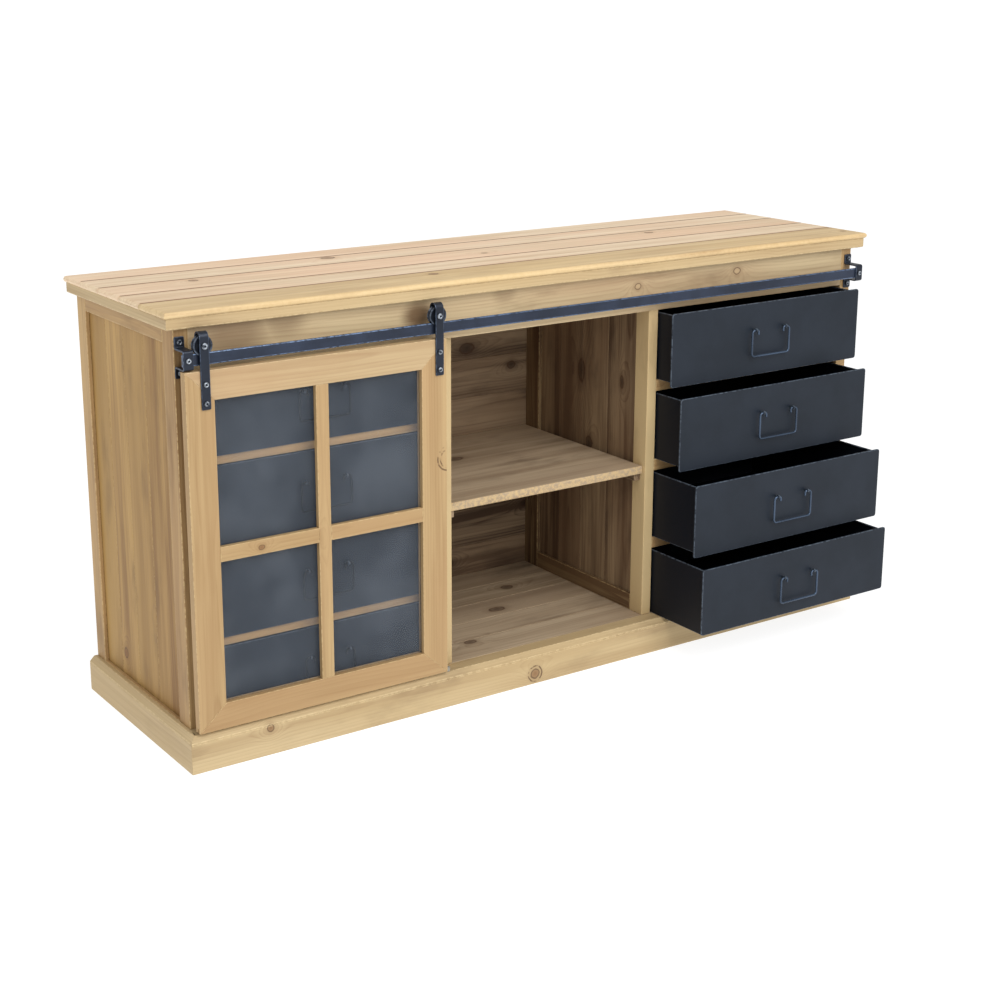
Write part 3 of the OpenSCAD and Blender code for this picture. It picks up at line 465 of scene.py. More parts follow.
# Pine from the board's own axes: rings are distance from the log's heart with noise, a knot pulls them
# round itself, fibres and streaks are noise drawn out along the board, rubbed edges are paler and
# seams (edge below 0) hold dirt. `knots` and `rings` are single knots and open rings: x, y, z, radius;
# `smudges` are soft dark spots: x, y, z, radius, strength.
def pineMaterial(name, light, dark, patch, rub, knots=(), rings=(), smudges=(), roughness=0.55, **change):
    look = {**pine, **change}
    light, dark, patch, rub = (linear(*c) for c in (light, dark, patch, rub))
    material, tree = newMaterial(name)
    grain = attribute(tree, "grain", "Vector")
    tone = attribute(tree, "tone", "Fac")
    edge = attribute(tree, "edge", "Fac")
    seed = node(tree, "ShaderNodeCombineXYZ", {}, {0: tone * 31.0, 1: tone * 17.0, 2: tone * 5.0})
    place = vectorMath(tree, "ADD", grain, seed)
    parts = node(tree, "ShaderNodeSeparateXYZ", {}, {0: grain})
    across, deep = Wire(tree, parts.socket.node.outputs[1]), Wire(tree, parts.socket.node.outputs[2])

    # chance knots: the distance to the nearest cell point, for the cells that hold one
    lengthwise, crosswise = look["knotCell"]
    cell = scaled(tree, place, 1 / lengthwise, 1 / crosswise, 0)
    cells = node(tree, "ShaderNodeTexVoronoi", {"voronoi_dimensions": "2D", "feature": "F1"},
                 {"Vector": cell, "Scale": 1.0, "Randomness": 0.8}, out="Position").socket.node
    away = vectorMath(tree, "SUBTRACT", cell, Wire(tree, cells.outputs["Position"]))
    away = scaled(tree, away, lengthwise * 0.8, crosswise, 0)
    distance = vectorMath(tree, "LENGTH", away, out="Value")
    chance = node(tree, "ShaderNodeSeparateXYZ", {}, {0: Wire(tree, cells.outputs["Color"])})
    held = chance.step(1 - look["knotShare"] - 0.01, 1 - look["knotShare"] + 0.01)
    size = Wire(tree, chance.socket.node.outputs[1]) * (look["knotSize"] * 0.8) + look["knotSize"] * 0.5
    knotAt = distance / size + (1 - held) * 50.0
    here = objectPlace(tree) if knots or rings or smudges else None

    def farFrom(x, y, z):
        gap = scaled(tree, vectorMath(tree, "SUBTRACT", here, (x, y, z)), *look["knotStretch"])
        return vectorMath(tree, "LENGTH", gap, out="Value")

    for x, y, z, radius in knots:
        knotAt = knotAt.of("MINIMUM", farFrom(x, y, z) / radius)
    wobble = noise(tree, place, 90.0, 2.0)
    knotAt = knotAt + (wobble - 0.5) * 0.5
    swell = (knotAt * knotAt * -0.10).of("EXPONENT")

    # year rings
    bend = noise(tree, scaled(tree, place, 1.6, 7.0, 7.0), 1.0, 2.0) - 0.5
    ringAcross = across + bend * 0.016
    fromHeart = (ringAcross * ringAcross + deep * deep).of("SQRT")
    years = (fromHeart + bend * 0.03 - swell * 0.02) / look["ringWidth"]
    year = years.of("FRACT")
    lateWood = (year ** 2.5) * (1 - year.step(0.86, 1.0))

    fibre = noise(tree, scaled(tree, place, 9.0, 520.0, 520.0), 1.0, 3.0, 0.6)
    streak = noise(tree, scaled(tree, place, 1.3, look["streakScale"], look["streakScale"]), 1.0, 3.0, 0.6)
    cloud = noise(tree, scaled(tree, place, 2.2, 7.0, 7.0), 1.0, 2.0)

    depth = (streak.step(0.3, 0.72) * look["streakContrast"] + lateWood * look["ringContrast"]
             + (fibre - 0.5) * look["fibreContrast"] + (tone - 0.5) * look["boardSpread"])
    color = blendColor(tree, depth, light, dark)
    turn = (tone * 7.3).of("FRACT") * 0.5 - 0.1
    color = blendColor(tree, (cloud.step(0.38, 0.68) * 0.6 + turn) * look["patchShare"], color, patch)
    soft = noise(tree, scaled(tree, place, 4.0, 13.0, 13.0), 1.0, 4.0, 0.62)
    stain = soft.step(0.5, 0.78) * look["stain"]
    for x, y, z, radius, strength in smudges:
        spread = farFrom(x, y, z) / radius + (fibre - 0.5) * 0.5
        stain = stain.of("MAXIMUM", (1 - spread.step(0.25, 1.05)) * strength)
    color = blendColor(tree, stain, color, linear(*look["stainColor"]))
    halo = (1 - knotAt.step(1.0, 2.6)) * 0.45
    color = blendColor(tree, halo, color, dark)
    heartRing = knotAt.step(0.75, 0.98) * (1 - knotAt.step(1.0, 1.25))
    knotCore = (1 - knotAt.step(0.85, 1.0)) * (0.75 - knotAt * 0.35)
    color = blendColor(tree, knotCore, color, linear(*look["knotColor"]))
    for x, y, z, radius in rings:
        line = (farFrom(x, y, z) + (wobble - 0.5) * 4 * mm - radius).of("ABSOLUTE")
        heartRing = heartRing.of("MAXIMUM", (1 - line.step(0.6 * mm, 2.4 * mm)) * wobble.step(0.4, 0.55))
    color = blendColor(tree, heartRing * 0.75, color, linear(*look["lineColor"]))
    scuff = noise(tree, place, 130.0, 3.0, 0.7)
    rubbed = edge * scuff.step(0.36, 0.62)
    color = blendColor(tree, rubbed * 0.6, color, rub)
    color = blendColor(tree, edge * -0.85, color, linear(*look["dirtColor"]))
    height = fibre * 0.6 - lateWood * 0.3 + scuff * 0.25 - heartRing * 0.5
    rough = lateWood * -0.08 + (fibre * 0.14 + roughness - 0.05)
    finishMaterial(tree, color, rough, height, bump=0.4, distance=0.4 * mm, Specular_IOR_Level=look["sheen"])
    return material


topWood = pineMaterial("topWood", (241, 221, 190), (202, 168, 128), (240, 200, 166), (240, 220, 186), roughness=0.5,
                       streakContrast=0.6, stain=0.22, stainColor=(176, 136, 98), dirtColor=(112, 70, 44))
lipWood = pineMaterial("lipWood", (216, 190, 144), (176, 142, 98), (208, 176, 122), (226, 200, 154), roughness=0.5,
                       stain=0.3, stainColor=(150, 116, 76), dirtColor=(104, 64, 40))
edgeWood = pineMaterial("edgeWood", (200, 178, 138), (154, 126, 90), (186, 160, 116), (218, 196, 152),
                        knots=((-0.068, -0.251, 0.022, 0.010), (-0.6745, -0.251, 0.054, 0.007)),
                        rings=((-0.068, -0.251, 0.022, 0.017),))
railWood = pineMaterial("railWood", (202, 182, 144), (152, 124, 92), (182, 150, 116), (222, 200, 156),
                        knots=((0.212, -0.209, 0.789, 0.006), (0.481, -0.209, 0.796, 0.007)),
                        smudges=((-0.318, -0.209, 0.786, 0.036, 0.9), (-0.70, -0.209, 0.80, 0.075, 0.6),
                                 (-0.60, -0.209, 0.815, 0.05, 0.5), (-0.12, -0.209, 0.81, 0.03, 0.35)),
                        stain=0.5, knotColor=(196, 168, 130), knotStretch=(0.8, 1, 1))
frameWood = pineMaterial("frameWood", (192, 160, 112), (146, 112, 72), (178, 142, 98), (214, 188, 138), stain=0.45)
# partitionWood's wide board spread turns the partition tones into painted light and shade
partitionWood = pineMaterial("partitionWood", (206, 182, 136), (84, 60, 40), (170, 138, 98), (196, 170, 124),
                             stain=0.45, boardSpread=1.5, patchShare=0.3)
sideWood = pineMaterial("sideWood", (186, 150, 92), (134, 98, 54), (164, 130, 76), (200, 170, 120),
                        streakContrast=0.85, streakScale=22.0, stain=0.55, stainColor=(112, 84, 50))
shelfWood = pineMaterial("shelfWood", (194, 174, 146), (138, 116, 92), (160, 138, 114), (214, 184, 130),
                         knots=((-0.058, 0.065, 0.403, 0.012), (0.006, -0.006, 0.071, 0.011),
                                (-0.150, -0.135, 0.071, 0.008)),
                         streakContrast=0.7, stain=0.6, stainColor=(84, 68, 54), knotColor=(66, 46, 34),
                         knotStretch=(0.6, 1, 1))
innerLook = {"streakContrast": 0.9, "stain": 0.6, "stainColor": (60, 44, 34), "knotColor": (48, 30, 20)}
# innerWood's wide board spread also carries the painted shade of the back planks' tones
innerWood = pineMaterial("innerWood", (172, 150, 122), (72, 54, 40), (140, 114, 88), (150, 126, 98),
                         knots=((0.081, 0.222, 0.60, 0.011),), boardSpread=1.1, knotStretch=(0.6, 1, 1), **innerLook)
panelWood = pineMaterial("panelWood", (162, 138, 108), (88, 66, 48), (134, 106, 80), (128, 102, 76),
                         knots=((0.2515, 0.026, 0.566, 0.011), (0.2515, -0.115, 0.566, 0.006)),
                         boardSpread=0.5, streakScale=26.0, knotStretch=(1, 1, 0.45), **innerLook)
doorWood = pineMaterial("doorWood", (184, 156, 112), (146, 114, 74), (178, 144, 102), (210, 186, 140),
                        rings=((-0.277, -0.249, 0.512, 0.018), (-0.277, -0.249, 0.512, 0.024)),
                        stain=0.25, stainColor=(150, 114, 72))
doorRailWood = pineMaterial("doorRailWood", (194, 172, 132), (156, 128, 92), (188, 156, 118), (214, 192, 150),
                            stain=0.25, stainColor=(160, 126, 84))
print("pine finishes made")


# ---- steel, glass and plastic ----

steel = {"rub": 0.6, "streak": 0.4, "grainScale": 900.0, "bump": 0.12, "sheen": 0.5}


# Coated or blackened steel: fine grain in the roughness, faint streaks, bare metal where an edge is
# rubbed. With `inside`, parts whose tone is 1 have that darker colour, which is painted shade.
def steelMaterial(name, base, shade, bare, metallic, roughness, inside=None, **change):
    look = {**steel, **change}
    material, tree = newMaterial(name)
    here = objectPlace(tree)
    edge = attribute(tree, "edge", "Fac")
    speck = noise(tree, here, look["grainScale"], 2.0)
    cloud = noise(tree, here, 9.0, 4.0, 0.6)
    # long streaks along X, which on the bar are partly painted highlight
    brushAndSheen = noise(tree, scaled(tree, here, 3.0, 60.0, 260.0), 1.0, 3.0, 0.6)
    color = blendColor(tree, cloud.step(0.3, 0.7) * 0.6 + brushAndSheen * look["streak"] * 0.5, linear(*base), linear(*shade))
    if inside is not None:
        color = blendColor(tree, attribute(tree, "tone", "Fac"), color, linear(*inside))
    rubbed = edge * noise(tree, here, 140.0, 3.0, 0.7).step(0.35, 0.6) * look["rub"]
    color = blendColor(tree, rubbed, color, linear(*bare))
    rough = roughness + (cloud - 0.5) * 0.16 + (speck - 0.5) * 0.12 - rubbed * 0.12
    finishMaterial(tree, color, rough, speck + brushAndSheen * look["streak"], bump=look["bump"], distance=0.1 * mm,
                   Metallic=metallic, Specular_IOR_Level=look["sheen"])
    return material


trackSteel = steelMaterial("trackSteel", (36, 43, 56), (22, 27, 37), (104, 120, 146), 0.5, 0.38)
# barSteel's lighter second colour, drawn out in long streaks along the bar, is partly brushed marks and partly painted
# highlight
barSteel = steelMaterial("barSteel", (26, 32, 44), (50, 60, 80), (110, 130, 162), 0.5, 0.34, rub=0.8, streak=0.8)
boltSteel = steelMaterial("boltSteel", (44, 52, 64), (26, 30, 40), (196, 204, 214), 0.7, 0.34, rub=1.0)
wheelSteel = steelMaterial("wheelSteel", (30, 36, 46), (18, 22, 30), (104, 114, 130), 0.5, 0.4)
# handleSteel's `inside` colour is painted shade for the handles behind the panes
handleSteel = steelMaterial("handleSteel", (74, 90, 112), (42, 52, 66), (150, 162, 176), 0.6, 0.26, inside=(1, 2, 3))
# drawerSteel's `inside` colour is painted shade on the drawer boxes
drawerSteel = steelMaterial("drawerSteel", (31, 38, 48), (24, 30, 38), (108, 120, 134), 0.0, 0.5, inside=(11, 16, 25),
                            rub=0.5, streak=0.15, grainScale=1500.0, bump=0.06, sheen=0.22)


def guideMaterial():
    material, tree = newMaterial("guidePlastic")
    here = objectPlace(tree)
    marks = noise(tree, scaled(tree, here, 40.0, 400.0, 400.0), 1.0, 3.0)
    color = blendColor(tree, marks.step(0.4, 0.8), linear(150, 146, 134), linear(116, 112, 102))
    finishMaterial(tree, color, marks * 0.2 + 0.35, marks, bump=0.1, distance=0.1 * mm)
    return material


# Clear pane: mostly see-through, a little grey, and denser in soft patches; the grey layer is partly a thin film of
# dust and partly painted reflection
def paneMaterial():
    material, tree = newMaterial("paneGlass")
    here = objectPlace(tree)
    dustAndReflection = noise(tree, here, 5.0, 3.0, 0.6)
    alpha = dustAndReflection.step(0.35, 0.65) * 0.09 + 0.10
    color = blendColor(tree, dustAndReflection, linear(104, 114, 128), linear(126, 134, 144))
    finishMaterial(tree, color, dustAndReflection * 0.06 + 0.04, Alpha=alpha)
    return material


guidePlastic = guideMaterial()
paneGlass = paneMaterial()
print("steel, glass and plastic finishes made")


# ---- top ----

top = {
    "lipWear": 0.9 * mm,      # how far the rounded edge is rubbed back at its worst
    "lipPitch": 14 * mm,      # length of a dent along the edge
    "longPitch": 4.3,         # the same for the slower change, in lipPitch
    "endPitch": 9 * mm,       # length of a dent across an end
    "stationPitch": 10 * mm,
    "seamRadius": 2.0 * mm,
    "seamDirt": 2.2 * mm,     # width of the dirt beside a seam
    "noseSteps": 8,
    "noseRub": 0.45,          # edge weight along the middle of the nose, and at the ends of the seams
    "endRub": 0.3,
}


# A top board. Its section is a rectangle, or half round at the front; towards both ends its half
# thickness follows sqrt(r^2 - (r - d)^2), d from the end, which makes the ends half round too
def topBoard(lo, hi, nose, last):
    r = (hi[2] - lo[2]) / 2
    zMid = (hi[2] + lo[2]) / 2
    front = lo[1] + 2 * r if nose else lo[1]
    section, weight = roundOutline([[front, -r], [hi[1], -r], [hi[1], r], [front, r]], top["seamRadius"],
                                   margin=top["seamDirt"])
    if nose:  # the two front corners give way to a half circle
        corner = len(section) // 4
        turn = np.linspace(-math.pi / 2, math.pi / 2, 2 * top["noseSteps"] + 1)
        arc = np.stack([lo[1] + r - r * np.cos(turn[::-1]), r * np.sin(turn[::-1])], 1)
        section = np.concatenate([section[corner:3 * corner], arc])
        weight = np.concatenate([-weight[corner:3 * corner], top["noseRub"] * np.cos(turn) ** 0.5])
    else:
        weight = np.where((section[:, 0] > (lo[1] + hi[1]) / 2) & last, weight, -weight)
    d = r * (1 - np.cos(np.linspace(0.12, math.pi / 2, top["noseSteps"])))
    inner = np.linspace(lo[0] + r + 2 * mm, hi[0] - r - 2 * mm, int((hi[0] - lo[0]) / top["stationPitch"]))
    x = np.concatenate([lo[0] + d, inner, hi[0] - d[::-1]])
    end = np.minimum(np.minimum(x - lo[0], hi[0] - x), r)
    thick = np.sqrt(r ** 2 - (r - end) ** 2)
    y = section[None, :, 0] + 0 * x[:, None]
    z = np.clip(section[None, :, 1], -thick[:, None], thick[:, None])
    rubbed = np.maximum(drift(x, top["lipPitch"]) * drift(x, top["longPitch"] * top["lipPitch"]) * 2 - 0.35, 0)
    if nose:
        onNose = np.clip((lo[1] + r - y) / r, 0, 1)
        y = y + top["lipWear"] * rubbed[:, None] * onNose
    ends = 1 - end / r
    way = np.linspace(0, hi[1] - lo[1] + 0.1, 200)
    dent = np.interp(y - lo[1], way, drift(way, top["endPitch"]))
    inwards = np.where(x < (lo[0] + hi[0]) / 2, 1, -1)[:, None]
    xs = x[:, None] + inwards * top["lipWear"] * np.maximum(dent * 1.6 - 0.6, 0) * ends[:, None]
    points = np.stack([xs, y, zMid + z], -1)
    heart = rng.uniform(-0.03, 0.03), rng.choice([-1, 1]) * rng.uniform(0.02, 0.06)
    mid = (lo[1] + hi[1]) / 2
    grain = np.stack([xs + rng.uniform(-1, 1), y - mid + heart[0], z + heart[1]], -1)
    endWear = (ends ** 0.5)[:, None]
    edge = np.where(weight < 0, weight * (1 - endWear) + endWear * top["endRub"], np.maximum(weight, endWear))
    return gridPart(points, edge, grain=grain, tone=rng.random())


for i in range(1, 6):
    cadName = f"top_board_{i}"
    makePiece(f"topBoard.{i}", [topBoard(*boxOf(cadName), i == 1, i == 5)], "carcase", cadName,
              lipWood if i == 1 else topWood)
print("top boards made")

moulding = {"bevel": 2 * mm, "radius": 0.9 * mm, "endRadius": 0.2 * mm, "width": 45 * mm, "joint": 0.15 * mm,
            "backGap": 0.1 * mm}
lo, hi = boxOf("top_moulding")


# Section of a strip whose outer face lies at `face`, going in by `inward`
def mouldingSection(face, inward):
    bevel, inner = moulding["bevel"], face + inward * moulding["width"]
    return [(face, lo[2] + bevel), (face + inward * bevel, lo[2]), (inner, lo[2]), (inner, hi[2]), (face, hi[2])]


# The mitre: how far a strip's end stands back, at the distance `inside` from its outer face
def mitre(inside):
    return np.abs(inside) + moulding["joint"]


edges = {"radius": moulding["radius"], "endRadius": moulding["endRadius"]}
parts = [board(mouldingSection(lo[1], 1), lambda y, z: lo[0] + mitre(y - lo[1]), lambda y, z: hi[0] - mitre(y - lo[1]),
               0, **edges)]
for face, inward in ((lo[0], 1), (hi[0], -1)):
    parts.append(board(mouldingSection(face, inward), lambda x, z: lo[1] + mitre(x - face), hi[1], 1, **edges))
backIn, w = moulding["width"] + moulding["backGap"], moulding["width"]
parts.append(plainBoard(np.array([lo[0] + backIn, hi[1] - w, lo[2]]), np.array([hi[0] - backIn, hi[1], hi[2]])))
makePiece("topMoulding", parts, "carcase", "top_moulding", edgeWood)
print("moulding made")


# ---- carcase ----

carcase = {
    "grooveClear": 0.25 * mm,
    "grooveDepth": 6 * mm,
    "uprightOver": 0.5,       # a taller part of a frame is a post
    "sideFoot": 0.01,
    "partitionFoot": 0.1,
    "rebateClear": 0.2 * mm,
    "plankRadius": 0.7 * mm,
    "panelRadius": 0.5 * mm,
    "stileRadius": 1.1 * mm,
    "rubbedFront": 1.5 * mm,  # how far back the shelf's front edge is rubbed
    "floorRub": 0.2,          # wear of the bottom boards' edges
    # the partition tones below are painted light and shade: pale on the lit front stiles, dark on the parts within
    "litStileTone": 0.12,         # tone of the partitions' front stiles, and of their other parts
    "shadedFrameTone": 0.8,
    # the two back plank tones below are painted shade, darker under the shelf
    "upperShadeTone": 0.3,          # tone of the back planks above and below the shelf
    "lowerShadeTone": 0.7,
}
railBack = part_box("face_rail")[1][1]
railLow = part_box("face_rail")[0][2]
backLo, backHi = boxOf("back_planks")
rebateX = backLo[0] - carcase["rebateClear"], backHi[0] + carcase["rebateClear"]
rebateY, rebateZ = backLo[1], backLo[2]


# Front of a frame's planks, and the two sides across X of the groove that holds them
def grooveOf(cadName):
    low, high = boxOf(cadName)
    return low[1], low[0] - carcase["grooveClear"], high[0] + carcase["grooveClear"]


# What a post or rail of a frame needs: is it upright, is its groove on its high side, its axis, its section.
# The lower rail is the one that starts below `footTop`
def framePart(lo, hi, plankY, g0, g1, footTop):
    upright = hi[2] - lo[2] > carcase["uprightOver"]
    along, deep = (2, 1) if upright else (1, 2)
    toHigh = lo[1] < plankY if upright else lo[2] < footTop
    return upright, toHigh, along, groovedRectangle(lo, hi, along, deep, toHigh, g0, g1, carcase["grooveDepth"])


for side in ("left", "right"):
    parts = []
    for lo, hi in solidsOf(f"side_frame_{side}"):
        upright, toHigh, along, section = framePart(lo, hi, *grooveOf(f"side_planks_{side}"), carcase["sideFoot"])
        split = None
        if upright and not toHigh:  # above the bottom boards the back post is rebated for the back planks
            inner, step, corner, turn = (hi[0], rebateX[0], 1, -1) if side == "left" else (lo[0], rebateX[1], 0, 1)
            flush = [(inner, hi[1]), ((inner + step) / 2, hi[1]), (step, hi[1])]
            notch = [(inner, rebateY), (step, rebateY), (step, hi[1])]
            section, cut = (section[:corner] + line[::turn] + section[corner + 1:] for line in (flush, notch))
            split = ((rebateZ - lo[2]) / (hi[2] - lo[2]), cut)
        parts.append(board(section, lo[along], hi[along], along, split=split))
    makePiece(f"sideFrame.{side}", parts, "carcase", f"side_frame_{side}", frameWood)

    parts = [plainBoard(lo, hi, 2, radius=carcase["plankRadius"]) for lo, hi in solidsOf(f"side_planks_{side}")]
    makePiece(f"sidePlanks.{side}", parts, "carcase", f"side_planks_{side}", sideWood)

    parts = []
    for lo, hi in solidsOf(f"partition_frame_{side}"):
        groove = grooveOf(f"partition_planks_{side}")
        upright, toHigh, along, section = framePart(lo, hi, *groove, carcase["partitionFoot"])
        split = None
        if upright and toHigh:  # above the drawers the front stile is let in behind the face rail
            cut = [(x, max(y, railBack)) for x, y in section]
            split = ((railLow - lo[2]) / (hi[2] - lo[2]), cut)
        # pale tone on the front stiles, dark on the parts within the cabinet: painted light and shade
        tone = carcase["litStileTone"] if upright and toHigh else carcase["shadedFrameTone"] + 0.02 * len(parts)
        parts.append(board(section, lo[along], hi[along], along, split=split, radius=carcase["stileRadius"], tone=tone))
    makePiece(f"partitionFrame.{side}", parts, "carcase", f"partition_frame_{side}", partitionWood)

    parts = [plainBoard(lo, hi, 2, radius=carcase["panelRadius"]) for lo, hi in solidsOf(f"partition_planks_{side}")]
    makePiece(f"partitionPlanks.{side}", parts, "carcase", f"partition_planks_{side}", panelWood)

flatBoards = [  # name, CAD node, axis, slot, finish, edge radius in mm
    ("faceRail", "face_rail", 0, "frame_wood", railWood, 1.2),
    ("backPlanks", "back_planks", 0, "inner_wood", innerWood, 0.6),
    ("bottomBoards", "bottom_boards", 0, "inner_wood", shelfWood, 0.8),
    ("middleShelf", "middle_shelf", 0, "inner_wood", shelfWood, 1.3),
    ("shelfCleats", "shelf_cleats", 1, "inner_wood", innerWood, 1.0),
    ("drawerRails", "drawer_rails", 0, "frame_wood", frameWood, 1.0),
    ("drawerRunners", "drawer_runners", 1, "inner_wood", innerWood, 0.8),
    ("baseBearers", "base_bearers", 1, "inner_wood", innerWood, 1.0),
    ("baseBackRail", "base_back_rail", 0, "inner_wood", innerWood, 1.0),
]
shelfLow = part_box("middle_shelf")[0][2]
for name, cadName, along, slot, finish, radius in flatBoards:
    parts = []
    for lo, hi in solidsOf(cadName):
        tone = None
        if name == "backPlanks":  # the planks under the shelf get a darker tone, painted shade where little light reaches
            tone = carcase["lowerShadeTone" if hi[2] < shelfLow + 30 * mm else "upperShadeTone"] + 0.05 * (len(parts) % 3)
        part = plainBoard(lo, hi, along, radius=radius * mm, tone=tone)
        if name == "middleShelf":  # its front edge is rubbed all over
            part["edge"] = np.where(part["verts"][:, 1] < lo[1] + carcase["rubbedFront"], 1.0, part["edge"])
        if name == "bottomBoards":
            part["edge"] = part["edge"] * carcase["floorRub"]
        parts.append(part)
    makePiece(name, parts, "carcase", cadName, finish)
print("carcase made")


# ---- plinth ----

plinth = {"chamfer": 10 * mm, "side": 18 * mm, "groove": 0.9 * mm, "grooveAt": 3 * mm, "radius": 1.3 * mm,
          "grooveRadius": 0.25 * mm, "endRadius": 0.2 * mm, "joint": 0.15 * mm}
radii = np.array([plinth["radius"]] * 5 + [plinth["grooveRadius"]] * 3)


# Plinth section: outer face at `face`, going in by `depth` in the direction `inward`; a chamfer above,
# and a fine groove scribed under it
def plinthSection(face, inward, depth, z0, z1):
    c, g = plinth["chamfer"], plinth["groove"]
    zg = z1 - c - plinth["grooveAt"]
    line = [(0, z0), (depth, z0), (depth, z1), (c, z1), (0, z1 - c), (0, zg + g), (g, zg), (0, zg - g)]
    return [(face + inward * d, z) for d, z in line]


# The mitre of the front board's ends, as deep as a side board is thick
def plinthMitre(inside):
    return np.minimum(inside, plinth["side"]) + plinth["joint"]


edges = {"radius": radii, "endRadius": plinth["endRadius"]}
lo, hi = boxOf("plinth_front")
part = board(plinthSection(lo[1], 1, hi[1] - lo[1], lo[2], hi[2]), lambda y, z: lo[0] + plinthMitre(y - lo[1]),
             lambda y, z: hi[0] - plinthMitre(y - lo[1]), 0, **edges)
makePiece("plinthFront", [part], "carcase", "plinth_front", edgeWood)
for side, inward in (("left", 1), ("right", -1)):
    lo, hi = boxOf(f"plinth_{side}")
    face = lo[0] if inward > 0 else hi[0]
    part = board(plinthSection(face, inward, plinth["side"], lo[2], hi[2]),
                 lambda x, z: lo[1] + np.abs(x - face) + plinth["joint"], hi[1], 1, **edges)
    makePiece(f"plinth.{side}", [part], "carcase", f"plinth_{side}", edgeWood)
print("plinth made")


# ---- track ----

lo, hi = boxOf("track_bar")
bar = {"radius": 2.0 * mm, "endRadius": 0.8 * mm}
makePiece("trackBar", [plainBoard(lo, hi, 0, **bar)], "carcase", "track_bar", barSteel)

bracket = {"thick": 3 * mm, "plate": 36 * mm, "bend": 3.2 * mm, "corner": 3 * mm}
for side in ("left", "right"):
    lo, hi = boxOf(f"track_bracket_{side}")
    h, p, zc = bracket["thick"] / 2, bracket["plate"] / 2, (lo[2] + hi[2]) / 2
    line = [(hi[1] - h, hi[2]), (hi[1] - h, zc + p - h), (lo[1] + h, zc + p - h), (lo[1] + h, zc - p + h),
            (hi[1] - h, zc - p + h), (hi[1] - h, lo[2])]
    part = strapPart(roundPath(line, bracket["bend"]), (lo[0] + hi[0]) / 2, hi[0] - lo[0], bracket["thick"],
                     bracket["corner"])
    makePiece(f"trackBracket.{side}", [part], "carcase", f"track_bracket_{side}", trackSteel)


fastener = {
    "nutUnder": 3.6 * mm,      # anything shorter along Y is a nut
    "nutOverBolt": 1.9,        # a nut's width across its corners, in its bolt's diameter
    "boreGap": 0.05 * mm,
    "cornerTrim": 0.25 * mm,
    "headHeight": 3.5 * mm,
    "socket": 4 * mm,
    "socketDepth": 2 * mm,
    "bigHead": 11 * mm,        # a wider head sits on the thick shank
    "shanks": (8 * mm, 6 * mm),
}


# Screw along +Y with its head in front of the plane y: a low dome with a six-sided socket
def screwPart(centre, shank, length, head):
    s, r, h, depth = fastener["socket"] / 2, head / 2, fastener["headHeight"], fastener["socketDepth"]
    rows = [(s * 0.96, depth - h, 1, 0), (s, depth - h - 0.05 * mm, 1, 0), (s, 0.35 * mm - h, 1, 0.2),
            (s + 0.25 * mm, 0.06 * mm - h, 1, 1), (s + 0.5 * mm, -h, 0, 1), (r * 0.72, -h * 0.98, 0, 0.5),
            (r * 0.88, -h * 0.88, 0, 0.6), (r * 0.97, -h * 0.66, 0, 0.5), (r, -h * 0.4, 0, 0.3), (r, 0, 0, 0),
            (shank / 2, 0, 0, 0), (shank / 2, length - 0.8 * mm, 0, 0), (shank / 2 - 0.6 * mm, length, 0, 0)]
    return turnedPart(centre, rows)


# Nut from the plane y to +Y, its six sides chamfered to a circle at both faces
def nutPart(centre, bore, flats, height):
    f, c = flats / 2, 0.5 * mm
    rows = [(bore, c, 0, 0), (bore + c, 0, 0, 0), (f, 0, 0, 0.6), (f + 0.1 * mm, c * 0.6, 1, 0.8),
            (f + 0.1 * mm, height - c * 0.6, 1, 0.8), (f, height, 0, 0.6), (bore + c, height, 0, 0),
            (bore, height - c, 0, 0)]
    return turnedPart(centre, rows, closedRows=True)


# The fasteners of a node, told apart by their boxes
def fasteners(cadName):
    made = []
    for lo, hi in solidsOf(cadName):
        x, z = (lo[0] + hi[0]) / 2, (lo[2] + hi[2]) / 2
        width, length = hi[0] - lo[0], hi[1] - lo[1]
        if length < fastener["nutUnder"]:
            bore = width / fastener["nutOverBolt"] / 2 + fastener["boreGap"]
            made.append(nutPart((x, lo[1], z), bore, width * 0.866 - fastener["cornerTrim"], length))
        else:
            shank = fastener["shanks"][0 if width > fastener["bigHead"] else 1]
            head = fastener["headHeight"]
            made.append(screwPart((x, lo[1] + head, z), shank, length - head, width))
    return made


makePiece("trackFasteners", fasteners("track_fasteners"), "carcase", "track_fasteners", boltSteel)
print("track made")


# ---- door ----

door = {
    "edge": 1.0 * mm,        # easing of the frame's edges
    "beadEdge": 0.5 * mm,
    "muntinRadius": 0.9 * mm,
    "paneRadius": 0.3 * mm,
    "shortest": 3 * mm,      # shorter edges stay sharp
}


